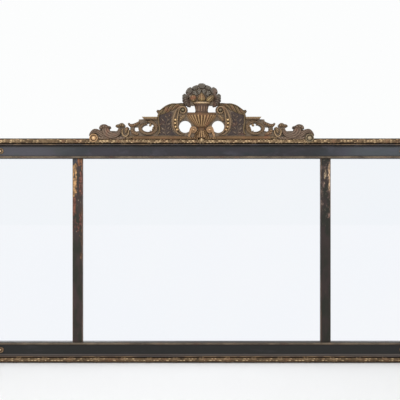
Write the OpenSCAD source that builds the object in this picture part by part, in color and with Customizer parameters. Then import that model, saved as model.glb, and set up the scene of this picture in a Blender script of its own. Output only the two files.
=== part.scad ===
// Overmantel mirror: an ebonised and gilt frame with three mirror plates
// and a pierced, carved crest. X runs along the frame, Z is up, the back
// of the frame lies in the plane Y = 0 and the front faces -Y.
// The origin is the middle of the bottom rail's lower back edge.

/* [Frame] */
// Width of the frame over the outer mouldings
frame_w = 1400; // [1380:10:1600]
// Height of the frame, without the crest
frame_h = 668; // [600:4:760]
// Width of the gilt outer moulding
moulding_w = 17; // [14:0.5:20]
// Thickness of the rail under the outer moulding
seat_d = 30; // [29.5:0.25:31]
// Width of the fillet beside the outer moulding
fillet_w = 3; // [2:0.5:5]
// Distance of the fillet's face from the back
fillet_d = 37; // [34:0.5:40]
// Radius of the cove between fillet and frieze
cove_r = 5; // [3:0.5:5]
// Width of the flat black frieze beyond the cove
frieze_w = 27; // [25:1:34]
// Distance of the frieze's face from the back
frieze_d = 29; // [27:0.5:29]
// Width of the gilt sight bead
bead_w = 8; // [6:0.5:10]
// Thickness of the lip that carries the sight bead
lip_t = 9; // [7:0.5:11]

/* [Glazing] */
// Thickness of the mirror plates
mirror_t = 4; // [3:0.5:6]
// Width of the rebate for the plates
rebate_w = 8; // [6:0.5:10]
// Gap round each plate in its rebate
mirror_gap = 1.5; // [0.5:0.25:2.5]
// Depth of the glazing blocks behind the plates
block_d = 6; // [4:0.5:8]
// Length of one glazing block
block_l = 40; // [20:2:60]
// Thickness of the backboards
backboard_t = 6; // [4:0.5:7]
// Step beyond the plate rebate that the backboards lie on
board_step_w = 8; // [8:0.5:11]
// Gap round each backboard
board_gap = 1; // [0.5:0.25:2]

/* [Mullions] */
// Distance of each mullion's middle from the centre
mullion_x = 371; // [300:1:420]
// Width of the mullion bar seen from the front
mullion_w = 30; // [20:1:36]
// Thickness of the mullion bar in front of the plates
mullion_t = 8; // [5:0.5:12]
// Thickness of the web between two plates
web_w = 6; // [4:0.5:10]

/* [Corner ornaments] */
// Length of a corner ornament's arm from the frame's outer corner
corner_arm = 101; // [86:1:120]
// Outer radius of the curl at the end of an arm
corner_curl_r = 10.5; // [8:0.5:12]
// Relief of the corner ornament
corner_relief = 6; // [3:0.5:9]

/* [Crest] */
// Thickness of the pierced crest board
crest_t = 20; // [16:1:24]
// Clearance between the outer moulding's front and the lapping crest carving
crest_clear = 0.5; // [0.3:0.1:3]
// Factor on the relief of the crest's carving
crest_relief = 1; // [0.7:0.05:1.2]
// Half length of the plain strip along the foot of the crest
strip_half = 204; // [198:1:210]
// Height of the plain strip
strip_h = 9; // [8.5:0.5:10]
// How far the strip laps down over the top rail
strip_lap = 3.5; // [1:0.5:6]
// Radius of the large round piercings
round_hole_r = 18.5; // [15:0.5:20]
// Radius of the gilt pearls in the C-scrolls
pearl_r = 3.5; // [2:0.25:3.75]
// Height of the pearls' middles over the crest board's face
pearl_out = 11; // [9.5:0.5:12]

/* [Fixings] */
// Width of a crest bracket
bracket_w = 22; // [16:1:30]
// Length of a crest bracket's upright leg
bracket_up = 60; // [45:1:70]
// Length of a crest bracket's lying leg
bracket_leg = 21; // [17:1:23]
// Thickness of the brackets
bracket_t = 2; // [1.5:0.25:3]
// Distance of the outer brackets from the centre
bracket_x = 104; // [96:1:112]

/* [Hangers] */
// Distance of each hanger from the frame's outer edge
hanger_inset = 22; // [18:1:26]
// Height of the hanger knuckle below the top of the frame
hanger_drop = 150; // [80:2:220]
// Width of the strap
strap_w = 16; // [12:0.5:17]
// Length of the strap below the knuckle
strap_l = 44; // [40:1:60]
// Thickness of the strap
strap_t = 1.2; // [0.8:0.1:1.4]
// Radius of the ring's wire
wire_r = 1.6; // [1.2:0.1:2]
// Running clearance of the wire in the knuckle
wire_clear = 0.05; // [0.02:0.01:0.1]
// Wall of the knuckle
knuckle_wall = 1.5; // [1:0.1:2]
// Half width of the ring at the middle of its wire
ring_half = 11.6; // [10.8:0.1:14]
// Length of the ring's straight sides
ring_side = 8; // [4:0.5:14]

/* [Screws] */
// Radius of the screws' shanks
screw_r = 1.5; // [1:0.1:2]
// Radius of the screws' heads
head_r = 3; // [2.5:0.1:3.5]
// Height of the screws' round heads
head_h = 1.6; // [1:0.1:2.5]
// How far the screws reach into the wood
screw_bite = 10; // [6:0.5:10]

/* [Hidden] */

rail_w = moulding_w + fillet_w + cove_r + frieze_w + bead_w;
lip_u = rail_w - bead_w;
glass_d = backboard_t + block_d + mirror_t;
lip_d = glass_d + lip_t;
moulding_r = moulding_w / 2;
moulding_side = 5;
front_d = seat_d + moulding_side + moulding_r;
crest_d = front_d + crest_clear;
bead_side = 3;
frieze_u = rail_w - bead_w - frieze_w / 2;
half_w = frame_w / 2;
cut = 1;
wood = "#2b2a2b";
gilt = "#8a6f47";
bright_gilt = "#b9965c";
dark_gilt = "#5a4c3e";
glass = "#dfe6ea";
pine = "#b08a5c";
steel = "#8c8c88";
brass = "#a58a4a";

// ---- curves ----

// Points of an arc round c, from angle a0 to a1
function arc(c, r, a0, a1, n) =
    [for (i = [0:n]) let (a = a0 + (a1 - a0) * i / n) c + r * [cos(a), sin(a)]];

// One point of the smooth curve through the stations p, t along span i
function smooth_at(p, i, t) =
    let (n = len(p), a = p[max(i - 1, 0)], b = p[i], c = p[min(i + 1, n - 1)], d = p[min(i + 2, n - 1)])
    0.5 * (2 * b + (c - a) * t + (2 * a - 5 * b + 4 * c - d) * t * t
           + (3 * b - a - 3 * c + d) * t * t * t);

// All stations of the smooth curve through p, with n steps to a span
function smooth(p, n) = concat(
    [for (i = [0:len(p) - 2]) for (k = [0:n - 1]) smooth_at(p, i, k / n)],
    [p[len(p) - 1]]);

// Unit direction of a run of stations at station i
function heading(s, i) =
    let (a = s[max(i - 1, 0)], b = s[min(i + 1, len(s) - 1)], v = [b[0] - a[0], b[1] - a[1]])
    v / norm(v);

// Carved band: stations are [x, z, width, relief], the back lies flat
// in the plane Y = -base and the front is a half ellipse
module band(s, base, relief = 1) {
    side_n = 6;
    ring = side_n + 1;
    n = len(s);
    points = [for (i = [0:n - 1]) let (h = heading(s, i)) for (k = [0:side_n])
        let (a = 180 * k / side_n, u = cos(a) * s[i][2] / 2, v = sin(a) * s[i][3] * relief)
        [s[i][0] - h[1] * u, -base - v, s[i][1] + h[0] * u]];
    sides = [for (i = [0:n - 2]) for (k = [0:side_n])
        let (a = i * ring + k, b = i * ring + (k + 1) % ring) [b, a, a + ring, b + ring]];
    ends = [[for (k = [0:side_n]) k], [for (k = [side_n:-1:0]) (n - 1) * ring + k]];
    polyhedron(points, concat(sides, ends), convexity = 6);
}

// The stations of a run from number a to number b
function stretch(s, a, b) = [for (i = [a:b]) s[i]];

// Points of an ellipse round c
function oval(c, rx, ry, n) = [for (i = [0:n - 1]) let (a = 360 * i / n) c + [rx * cos(a), ry * sin(a)]];

// The flat shadow of a band, wider by grow, as an outline
module shadow(s, grow = 1) {
    n = len(s);
    polygon(concat(
        [for (i = [0:n - 1]) let (h = heading(s, i), u = s[i][2] / 2 + grow)
            [s[i][0] - h[1] * u, s[i][1] + h[0] * u]],
        [for (i = [n - 1:-1:0]) let (h = heading(s, i), u = s[i][2] / 2 + grow)
            [s[i][0] + h[1] * u, s[i][1] - h[0] * u]]));
}

// ---- frame ----

// Section of a rail: u from the outer edge inward, d from the back
module rail_section() {
    polygon(concat(
        [[0, 0], [0, seat_d], [moulding_w, seat_d], [moulding_w, fillet_d],
         [moulding_w + fillet_w, fillet_d]],
        arc([moulding_w + fillet_w + cove_r, frieze_d + cove_r], cove_r, 180, 270, 6),
        [[lip_u, frieze_d], [lip_u, lip_d], [rail_w, lip_d], [rail_w, glass_d],
         [rail_w - rebate_w, glass_d], [rail_w - rebate_w, backboard_t],
         [rail_w - rebate_w - board_step_w, backboard_t], [rail_w - rebate_w - board_step_w, 0]]));
}

module moulding_section() {
    polygon(concat([[0, seat_d]],
        arc([moulding_r, seat_d + moulding_side], moulding_r, 180, 0, 12),
        [[moulding_w, seat_d]]));
}

module bead_section() {
    polygon(concat([[lip_u, lip_d]],
        arc([lip_u + bead_w / 2, lip_d + bead_side], bead_w / 2, 180, 0, 8),
        [[rail_w, lip_d]]));
}

// A length of the section along X, mitred at both ends, outer edge at Z = 0
module mitred(length) {
    intersection() {
        translate([-length / 2, 0, 0]) rotate([0, -90, 180]) linear_extrude(length) children();
        rotate([90, 0, 0]) linear_extrude(front_d)
            polygon([[-length / 2, 0], [length / 2, 0],
                     [length / 2 - rail_w, rail_w], [rail_w - length / 2, rail_w]]);
    }
}

module at_bottom() { children(); }
module at_top() { translate([0, 0, frame_h]) rotate([0, 180, 0]) children(); }
module at_left() { translate([-half_w, 0, frame_h / 2]) rotate([0, 90, 0]) children(); }
module at_right() { translate([half_w, 0, frame_h / 2]) rotate([0, -90, 0]) children(); }

module top_rail() {
    color(wood) difference() {
        at_top() mitred(frame_w) rail_section();
        backboard_screw_holes();
        bracket_leg_holes();
    }
}
module bottom_rail() {
    color(wood) difference() {
        at_bottom() mitred(frame_w) rail_section();
        backboard_screw_holes();
    }
}
module left_stile() {
    color(wood) difference() {
        at_left() mitred(frame_h) rail_section();
        hanger_screw_places() screw_hole();
    }
}
module right_stile() {
    color(wood) difference() {
        at_right() mitred(frame_h) rail_section();
        hanger_screw_places() screw_hole();
    }
}

module top_moulding() { color(gilt) at_top() mitred(frame_w) moulding_section(); }
module bottom_moulding() { color(gilt) at_bottom() mitred(frame_w) moulding_section(); }
module left_moulding() { color(gilt) at_left() mitred(frame_h) moulding_section(); }
module right_moulding() { color(gilt) at_right() mitred(frame_h) moulding_section(); }
module top_sight_bead() { color(bright_gilt) at_top() mitred(frame_w) bead_section(); }
module bottom_sight_bead() { color(bright_gilt) at_bottom() mitred(frame_w) bead_section(); }
module left_sight_bead() { color(bright_gilt) at_left() mitred(frame_h) bead_section(); }
module right_sight_bead() { color(bright_gilt) at_right() mitred(frame_h) bead_section(); }

// ---- mullions and glazing ----

// Block between two corners given as [x, d, z], d counted forward from the back
module block(a, b) {
    translate([a[0], -b[1], a[2]]) cube([b[0] - a[0], b[1] - a[1], b[2] - a[2]]);
}

module mullion(x) {
    block([x - mullion_w / 2, glass_d, rail_w], [x + mullion_w / 2, glass_d + mullion_t, frame_h - rail_w]);
    block([x - web_w / 2, backboard_t, rail_w - rebate_w + mirror_gap],
          [x + web_w / 2, glass_d, frame_h - rail_w + rebate_w - mirror_gap]);
}
module left_mullion() { color(wood) mullion(-mullion_x); }
module right_mullion() { color(wood) mullion(mullion_x); }

plate_z0 = rail_w - rebate_w + mirror_gap;
plate_z1 = frame_h - plate_z0;
plate_edge = half_w - rail_w + rebate_w - mirror_gap;
web_edge = mullion_x - web_w / 2 - mirror_gap;
web_far = mullion_x + web_w / 2 + mirror_gap;

module mirror_plate(x0, x1) { block([x0, glass_d - mirror_t, plate_z0], [x1, glass_d, plate_z1]); }
module left_mirror() { color(glass) mirror_plate(-plate_edge, -web_far); }
module centre_mirror() { color(glass) mirror_plate(-web_edge, web_edge); }
module right_mirror() { color(glass) mirror_plate(web_far, plate_edge); }

// Glazing blocks: a row along the top and bottom rebates behind the plates
block_in = rail_w - rebate_w + mirror_gap;
block_x = [0, mullion_x - 60, mullion_x + 50, half_w - rail_w - 50];
module glazing_blocks() {
    color(pine) for (s = [-1, 1]) for (x = block_x) if (x > 0 || s > 0)
        for (z = [block_in, frame_h - block_in - mirror_gap - rebate_w])
            block([s * x - block_l / 2, backboard_t, z],
                  [s * x + block_l / 2, backboard_t + block_d, z + rebate_w + mirror_gap]);
}

board_z0 = rail_w - rebate_w - board_step_w + board_gap;
board_z1 = frame_h - board_z0;
board_edge = half_w - board_z0;
module backboard(x0, x1) {
    difference() {
        block([x0, 0, board_z0], [x1, backboard_t, board_z1]);
        backboard_screw_holes();
    }
}
module left_backboard() { color(pine) backboard(-board_edge, -mullion_x - board_gap / 2); }
module centre_backboard() { color(pine) backboard(board_gap / 2 - mullion_x, mullion_x - board_gap / 2); }
module right_backboard() { color(pine) backboard(mullion_x + board_gap / 2, board_edge); }

// ---- screws ----

// A round-head wood screw along -Y, its head's flat face at Y = 0
module screw() {
    rotate([90, 0, 0]) cylinder(r = screw_r, h = screw_bite, $fn = 24);
    rotate([-90, 0, 0]) cylinder(r = head_r, h = head_h, $fn = 24);
}
module screw_hole() { translate([0, cut, 0]) rotate([90, 0, 0]) cylinder(r = screw_r, h = screw_bite + cut, $fn = 24); }

backboard_screw_x = [40, mullion_x - 40, mullion_x + 40, half_w - rail_w - 20];
module backboard_screw_places() {
    for (s = [-1, 1]) for (x = backboard_screw_x)
        for (z = [board_z0 + board_step_w / 2, board_z1 - board_step_w / 2])
            translate([s * x, 0, z]) children();
}
module backboard_screw_holes() {
    backboard_screw_places() translate([0, cut, 0]) rotate([90, 0, 0])
        cylinder(r = screw_r, h = backboard_t + screw_bite + cut, $fn = 24);
}
module backboard_screws() {
    color(steel) backboard_screw_places() {
        rotate([90, 0, 0]) cylinder(r = screw_r, h = backboard_t + screw_bite, $fn = 24);
        rotate([-90, 0, 0]) cylinder(r = head_r, h = head_h, $fn = 24);
    }
}

// ---- corner ornaments ----

// Stations of one arm along the frieze from the mitre, ending in a curl
curl_c = [corner_arm, frieze_u];
corner_path = concat(
    [[frieze_u - 3, frieze_u - 3, 5, 3], [frieze_u + 8, frieze_u + 3, 11, 5],
     [frieze_u + 24, frieze_u + 5, 12, 6], [corner_arm - 14, frieze_u - 2, 7, 5]],
    [for (k = [0:6]) let (a = 240 + 50 * k, r = (corner_curl_r - 2.5) * (1 - 0.06 * k))
        [curl_c[0] + r * cos(a), curl_c[1] + r * sin(a), 5 - 0.4 * k, 5]]);
module corner_arm_shape() {
    band(smooth(corner_path, 2), frieze_d, corner_relief / 6);
    translate([curl_c[0], -frieze_d, curl_c[1]]) rotate([90, 0, 0])
        cylinder(r1 = 3, r2 = 2, h = corner_relief, $fn = 24);
}
module corner_ornament() {
    corner_arm_shape();
    mirror([1, 0, -1]) corner_arm_shape();
}
module bottom_left_corner() { color(bright_gilt) translate([-half_w, 0, 0]) corner_ornament(); }
module bottom_right_corner() { color(bright_gilt) translate([half_w, 0, 0]) mirror([1, 0, 0]) corner_ornament(); }
module top_left_corner() {
    color(bright_gilt) translate([-half_w, 0, frame_h]) mirror([0, 0, 1]) corner_ornament();
}
module top_right_corner() {
    color(bright_gilt) translate([half_w, 0, frame_h]) mirror([0, 0, 1]) mirror([1, 0, 0]) corner_ornament();
}

// ---- crest: places on its face are [x, z] from the middle of the rail's top ----

steps = 3;
volute_c = [54, 83];
volute_r = 13;
foot_scroll_c = [25, 23.5];
foot_scroll_r = 10;
hole_c = [49, 34];
oval_c = [strip_half - 45.5, 31];
oval_r = [24, 18];
oval_rim = 5.5;
small_volute_x = strip_half + 21;
end_c = [strip_half + 115.5, 0];
end_r = 12.5;

// The points or stations p moved along by x
function beside(p, x) = [for (s = p) [for (k = [0:len(s) - 1]) k == 0 ? s[k] + x : s[k]]];
// The place a share t of the way from a to b
function between(a, b, t) = a + (b - a) * t;

ledge = beside([[-27.5, 54], [-27.5, 61.5], [17.5, 61.5], [11.5, 54]], oval_c[0]);
// Plain fields of the crest board, [width, height], behind half the urn, along
// the foot, behind the shell and behind the shell's root
urn_field = [74, 76];
foot_field = [strip_half + 36, 16];
fan_field = [120, 60];
fan_drop = 8;
root_field = [98, 20];
root_drop = 6;
// Parts of the crest board that join one carving to the next
webs = concat(
    [[[44, 70], [50, 98], [98, 98], [100, 72]],
     [[66, 8], [92, 12], [93, 40], [92, 60], [84, 80], [70, 80], [76, 48], [72, 20]],
     [[20, 14], [20, 30], [32, 30], [37, 14]],
     beside([[3, 12], [7, 36], [22, 37], [22, 12]], small_volute_x),
     beside([[-9, 12], [-9, 31], [6, 32], [6, 12]], small_volute_x)],
    [for (w = [[[-32.5, 8], [-32.5, 62], [-22.5, 62], [-22.5, 8]],
               [[-26.5, 47], [-26.5, 58], [27.5, 55], [28.5, 46]],
               [[22.5, 33], [17.5, 48], [41.5, 44], [40.5, 32], [31.5, 33]],
               [[17.5, 8], [18.5, 22], [29.5, 21], [40.5, 17], [40.5, 8]],
               [[40.5, 20], [40.5, 38], [52.5, 38], [53.5, 20]]]) beside(w, oval_c[0])],
    [for (w = [[[-47.5, 14], [-45.5, 32], [-21.5, 32], [-17.5, 18]],
               [[-19.5, 0], [13.5, 0], [10.5, 10], [-1.5, 18], [-19.5, 16]]]) beside(w, end_c[0])]);
panel_in = 92;
panel_out = oval_c[0] - 29.5;
function panel_x(t) = between(panel_in, panel_out, t);
panel = [[76, 8], [86, 20], [90.5, 34], [panel_in, 48], [89, 64], [86, 76], [94, 77],
         [panel_x(0.32), 75], [panel_x(0.65), 70], [panel_x(0.95), 67], [panel_out, 54], [panel_out, 8]];

c_scroll_path = smooth([[50, 9, 4, 4], [61, 11.5, 9, 7], [70, 18.5, 14, 9], [77, 31, 18, 11],
    [79, 48, 19, 12], [76, 66, 17, 11], [69, 82, 12, 9], [59, 91, 8, 7], [49, 90, 6, 6],
    [44.5, 82, 5, 6], [49, 75, 5, 6], [57, 75.5, 4.5, 5], [60, 81.5, 4, 5]], steps);
arch_in = 86;
arch_tip = oval_c[0] - 26;
function arch_x(t) = between(arch_in, arch_tip, t);
arch_path = smooth([[48, 99.5, 5, 5], [60, 99, 8, 7], [72, 96, 12, 9], [arch_in, 92.5, 19, 10],
    [arch_x(0.32), 86.5, 20, 10], [arch_x(0.6), 79, 17, 9], [arch_x(0.82), 76.5, 12, 7],
    [arch_tip, 81.5, 4, 4]], steps);
oval_path = [for (k = [0:25])
    let (a = 78 + 14.4 * k, t = max(0, k - 19) / 6, w = k < 2 ? 5 : 9 - 4.5 * t)
    [oval_c[0] + (oval_r[0] - 9 * t) * cos(a), oval_c[1] + (oval_r[1] - 7 * t) * sin(a), w, 9 - 3 * t]];
wing_top_path = smooth(beside([[25, 47, 6, 6], [33.5, 41.5, 8, 8], [44.5, 37, 9, 8], [53, 38, 7, 7],
    [58.5, 44, 3, 4]], oval_c[0]), steps);
wing_low_path = smooth(beside([[27.5, 10, 6, 6], [35.5, 12.5, 11, 8], [44.5, 17, 12, 9],
    [48, 26, 9, 8]], oval_c[0]), steps);
volute_path = smooth(beside([[9, 28, 4, 5], [10, 17, 5, 7], [7, 8, 6, 8], [0, 4.5, 7, 8],
    [-6, 8, 6, 8], [-9, 16, 5, 7], [-8.5, 24.5, 4, 5]], small_volute_x), steps);
tongue_path = smooth(beside([[-6, 33, 5, 5], [-3, 27, 9, 8], [-1, 20, 9, 8], [0, 13, 5, 5]], small_volute_x), steps);
curl_leaf_path = smooth(beside([[4, 33.5, 7, 8], [11, 38, 12, 11], [19, 36.5, 8, 8], [25.5, 35.5, 7, 7],
    [28.5, 32.5, 3, 4]], small_volute_x), steps);
saddle_path = smooth(beside([[11.5, 6, 4, 5], [7, 14, 8, 8], [-2.5, 20.5, 12, 10], [-14.5, 17.5, 13, 11],
    [-27.5, 11.5, 20, 11], [-41.5, 9, 22, 10], [-55.5, 9, 22, 10], [-67.5, 11, 19, 10],
    [-75, 18, 12, 10], [-77.5, 27.5, 8, 9]], end_c[0]), steps);
tip_leaf_path = smooth(beside([[-20.5, 25.5, 8, 8], [-23.5, 32, 12, 10], [-32.5, 33, 14, 10],
    [-41.5, 31.5, 9, 8], [-49.5, 32, 3, 4]], end_c[0]), steps);
foot_scroll_path = smooth([[38, 1.5, 5, 5], [36.5, 8, 7, 6], [33.5, 15, 7, 7], [32, 22.5, 6, 8],
    [29, 29, 6, 8], [23.5, 30.5, 6, 8], [18.7, 27, 5.5, 8], [18.5, 20.8, 5, 8], [23, 17.3, 5, 8],
    [27.7, 19.5, 4.5, 7], [28, 24, 4, 6]], steps);

// Urn: stations are [0, z, width, relief]
bowl_path = [[0, 29, 22, 8], [0, 33, 32, 12], [0, 42, 50, 17], [0, 54, 72, 20], [0, 64, 86, 21],
    [0, 70, 92, 21], [0, 73.5, 90, 19]];
neck_path = [[0, 74, 40, 15], [0, 79, 35, 14], [0, 88, 36, 14], [0, 95, 40, 15], [0, 99.5, 42, 16]];
rim_path = [[0, 100, 44, 17], [0, 102, 52, 20], [0, 104, 52, 20], [0, 106, 44, 17]];
foot_path = [[0, 0.5, 38, 13], [0, 6, 34, 12], [0, 13, 26, 10], [0, 20, 22, 9], [0, 23, 24, 10],
    [0, 28.5, 24, 10]];
pendant_path = smooth([[0, -13, 3, 3], [0, -9, 11, 8], [0, -4, 13, 9], [0, 0, 9, 8]], steps);

// Shell: lobes spread from the fan's root, [angle from upright, reach, width]
fan_root = [0, 105];
fan_lobes = [[-73, 59, 18], [-47, 58, 22], [-23, 54, 20], [0, 57, 21], [23, 54, 20], [47, 58, 22],
    [73, 59, 18]];
fan_inner = 42;
function lobe_path(l) = smooth([for (q = [[0, 0.62, 8], [0.45, 0.9, 11], [0.8, 1, 13], [1, 0.45, 8]])
    let (r = fan_inner + (l[1] - fan_inner) * q[0])
    [fan_root[0] + r * sin(l[0]), fan_root[1] + r * cos(l[0]), l[2] * q[1], q[2]]], 2);
drop_leaf_path = smooth([[47, 113, 10, 8], [47, 108, 9, 8], [45, 104, 4, 5]], steps);
// Petals: [x, z, lean, length]
petals = [[-25, 107.5, -12, 18], [0, 110, 0, 22], [25, 107.5, 12, 18]];
function petal_path(p) = smooth([for (q = [[0, 8, 8], [0.45, 18, 15], [0.8, 16, 16], [1, 7, 10]])
    [p[0] + p[3] * q[0] * sin(p[2]), p[1] + p[3] * q[0] * cos(p[2]), q[1], q[2]]], 2);

pearl_clear = 0.1;
pearls = [[72.5, 24], [76.5, 32.5], [78, 43], [77.5, 53]];

module on_crest() { translate([0, 0, frame_h]) children(); }
module mirrored() { mirror([1, 0, 0]) children(); }
module carve(s) { band(s, crest_d, crest_relief); }
// A flat carved layer of the given relief on the crest's face
module layer(relief) {
    translate([0, -crest_d, 0]) rotate([90, 0, 0]) linear_extrude(relief * crest_relief) children();
}

// A layer of the crest board, and a hole through it
module slab() { linear_extrude(crest_t) children(); }
module pierce() { translate([0, 0, -cut]) linear_extrude(crest_t + 2 * cut) children(); }

// The right half of the crest board, lying flat
module half_board() {
    difference() {
        union() {
            slab() square(urn_field);
            slab() square(foot_field);
        }
        pierce() translate(hole_c) circle(r = round_hole_r, $fn = 64);
        pierce() translate(oval_c) circle(r = oval_r[1], $fn = 48);
    }
    for (s = [stretch(c_scroll_path, 0, 7 * steps), arch_path, wing_top_path, wing_low_path, volute_path,
              curl_leaf_path, saddle_path, tip_leaf_path, stretch(foot_scroll_path, 0, 5 * steps),
              drop_leaf_path, stretch(oval_path, 18, 25)]) slab() shadow(s);
    for (w = concat(webs, [panel, ledge])) slab() polygon(w);
    difference() {
        slab() polygon(oval(oval_c, oval_r[0] + oval_rim, oval_r[1] + oval_rim, 32));
        pierce() polygon(oval(oval_c, oval_r[0] - oval_rim, oval_r[1] - oval_rim, 32));
    }
    slab() translate(end_c) circle(r = end_r, $fn = 48);
    slab() translate(volute_c) circle(r = volute_r, $fn = 48);
    slab() translate(foot_scroll_c) circle(r = foot_scroll_r, $fn = 48);
}
module flat_board() {
    intersection() {
        union() {
            half_board();
            mirror([1, 0, 0]) half_board();
            for (s = [bowl_path, neck_path, rim_path, foot_path]) slab() shadow(s);
            for (l = fan_lobes) slab() shadow(lobe_path(l), 0);
            intersection() {
                slab() translate(fan_root) circle(r = fan_inner + 4, $fn = 64);
                slab() translate(fan_root - [fan_field[0] / 2, fan_drop]) square(fan_field);
            }
            slab() translate(fan_root - [root_field[0] / 2, root_drop]) square(root_field);
        }
        translate([-half_w, 0, -cut]) cube([frame_w, half_w, crest_t + 2 * cut]);
    }
}
module crest_board() {
    color(dark_gilt) difference() {
        on_crest() translate([0, crest_t - crest_d, 0]) rotate([90, 0, 0]) flat_board();
        bracket_up_holes();
    }
}

strip_gap = 44;
strip_relief = 6;
module crest_strip() {
    color(gilt) on_crest() layer(strip_relief) for (x = [-strip_half, strip_gap])
        translate([x, -strip_lap]) square([strip_half - strip_gap, strip_h]);
}

// The pearls are domed pegs that pass through the C-scroll to the board
module pearl_places() { for (p = pearls) translate([p[0], -crest_d, p[1]]) rotate([90, 0, 0]) children(); }
module pearl() {
    rotate_extrude($fn = 24) polygon(concat([[0, 0], [pearl_r, 0]], arc([0, pearl_out], pearl_r, 0, 90, 5)));
}
module c_scroll() {
    difference() {
        carve(c_scroll_path);
        pearl_places() translate([0, 0, -cut])
            cylinder(r = pearl_r + pearl_clear, h = pearl_out + pearl_r + 2 * cut, $fn = 24);
    }
}
module arch_leaf() {
    carve(arch_path);
    layer(4) polygon(panel);
}
module oval_scroll() {
    carve(oval_path);
    layer(16) polygon(ledge);
}
module wing_leaf() {
    carve(wing_top_path);
    carve(wing_low_path);
}
module curl_volute() {
    carve(volute_path);
    carve(tongue_path);
    carve(curl_leaf_path);
}
module end_scroll() {
    carve(saddle_path);
    carve(tip_leaf_path);
    translate([end_c[0], -crest_d, end_c[1]]) rotate([90, 0, 0]) {
        rotate_extrude($fn = 48) polygon([[end_r - 6, 0], [end_r, 0], [end_r, 5], [end_r - 3, 8], [end_r - 6, 5]]);
        cylinder(r1 = 5.5, r2 = 3.5, h = 7, $fn = 32);
    }
}
module foot_scroll() { carve(foot_scroll_path); }

module right_c_scroll() { color(gilt) on_crest() c_scroll(); }
module left_c_scroll() { color(gilt) on_crest() mirrored() c_scroll(); }
module right_arch_leaf() { color(dark_gilt) on_crest() arch_leaf(); }
module left_arch_leaf() { color(dark_gilt) on_crest() mirrored() arch_leaf(); }
module right_oval_scroll() { color(gilt) on_crest() oval_scroll(); }
module left_oval_scroll() { color(gilt) on_crest() mirrored() oval_scroll(); }
module right_wing_leaf() { color(dark_gilt) on_crest() wing_leaf(); }
module left_wing_leaf() { color(dark_gilt) on_crest() mirrored() wing_leaf(); }
module right_curl_volute() { color(gilt) on_crest() curl_volute(); }
module left_curl_volute() { color(gilt) on_crest() mirrored() curl_volute(); }
module right_end_scroll() { color(dark_gilt) on_crest() end_scroll(); }
module left_end_scroll() { color(dark_gilt) on_crest() mirrored() end_scroll(); }
module right_foot_scroll() { color(gilt) on_crest() foot_scroll(); }
module left_foot_scroll() { color(gilt) on_crest() mirrored() foot_scroll(); }

module urn_bowl() { color(gilt) on_crest() carve(bowl_path); }
module urn_neck() { color(dark_gilt) on_crest() carve(neck_path); }
module urn_rim() { color(bright_gilt) on_crest() carve(rim_path); }
module urn_foot() { color(gilt) on_crest() carve(foot_path); }
module urn_pendant() { color(bright_gilt) on_crest() carve(pendant_path); }
module shell_fan() {
    color(dark_gilt) on_crest() {
        for (l = fan_lobes) carve(lobe_path(l));
        carve(drop_leaf_path);
        mirrored() carve(drop_leaf_path);
    }
}
module shell_petals() { color(bright_gilt) on_crest() for (p = petals) carve(petal_path(p)); }
module scroll_pearls() {
    color(bright_gilt) on_crest() {
        pearl_places() pearl();
        mirrored() pearl_places() pearl();
    }
}

// ---- crest fixings ----

board_back_d = crest_d - crest_t;
bracket_places = [-bracket_x, 0, bracket_x];
leg_hole_d = board_back_d - bracket_leg * 0.6;
up_holes = [bracket_up * 0.4, bracket_up * 0.8];
module bracket_leg_holes() {
    for (x = bracket_places) translate([x, -leg_hole_d, frame_h - screw_bite])
        cylinder(r = screw_r, h = screw_bite + bracket_t + cut, $fn = 24);
}
module bracket_up_holes() {
    for (x = bracket_places) for (z = up_holes) translate([x, cut - board_back_d + bracket_t, frame_h + z])
        rotate([90, 0, 0]) cylinder(r = screw_r, h = screw_bite + bracket_t + cut, $fn = 24);
}
module crest_brackets() {
    color(steel) difference() {
        for (x = bracket_places) translate([x - bracket_w / 2, 0, frame_h]) {
            translate([0, -board_back_d, 0]) cube([bracket_w, bracket_leg, bracket_t]);
            translate([0, -board_back_d, 0]) cube([bracket_w, bracket_t, bracket_up]);
        }
        bracket_leg_holes();
        bracket_up_holes();
    }
}
module bracket_screws() {
    color(steel) {
        for (x = bracket_places) translate([x, -leg_hole_d, frame_h + bracket_t]) {
            translate([0, 0, -screw_bite - bracket_t]) cylinder(r = screw_r, h = screw_bite + bracket_t, $fn = 24);
            cylinder(r = head_r, h = head_h, $fn = 24);
        }
        for (x = bracket_places) for (z = up_holes)
            translate([x, bracket_t - board_back_d, frame_h + z]) {
                rotate([90, 0, 0]) cylinder(r = screw_r, h = screw_bite + bracket_t, $fn = 24);
                rotate([-90, 0, 0]) cylinder(r = head_r, h = head_h, $fn = 24);
            }
    }
}

// ---- hangers ----

hanger_x = half_w - hanger_inset;
hanger_z = frame_h - hanger_drop;
knuckle_r = wire_r + wire_clear + knuckle_wall;
knuckle_l = strap_w;
strap_hole_1 = ring_side + 2;
strap_hole_2 = strap_l - 8;

module hanger_screw_places() {
    for (s = [-1, 1]) for (z = [strap_hole_1, strap_hole_2])
        translate([s * hanger_x, 0, hanger_z - z]) children();
}
module hanger(x) {
    translate([x, 0, hanger_z]) difference() {
        union() {
            translate([-strap_w / 2, 0, -strap_l]) cube([strap_w, strap_t, strap_l]);
            translate([-knuckle_l / 2, knuckle_r, 0]) rotate([0, 90, 0])
                cylinder(r = knuckle_r, h = knuckle_l, $fn = 48);
        }
        translate([-knuckle_l / 2 - cut, knuckle_r, 0]) rotate([0, 90, 0])
            cylinder(r = wire_r + wire_clear, h = knuckle_l + 2 * cut, $fn = 48);
        for (z = [strap_hole_1, strap_hole_2]) translate([0, strap_t + cut, -z]) rotate([90, 0, 0])
            cylinder(r = screw_r, h = strap_t + 2 * cut, $fn = 24);
    }
}
module left_hanger() { color(brass) hanger(-hanger_x); }
module right_hanger() { color(brass) hanger(hanger_x); }

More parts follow.
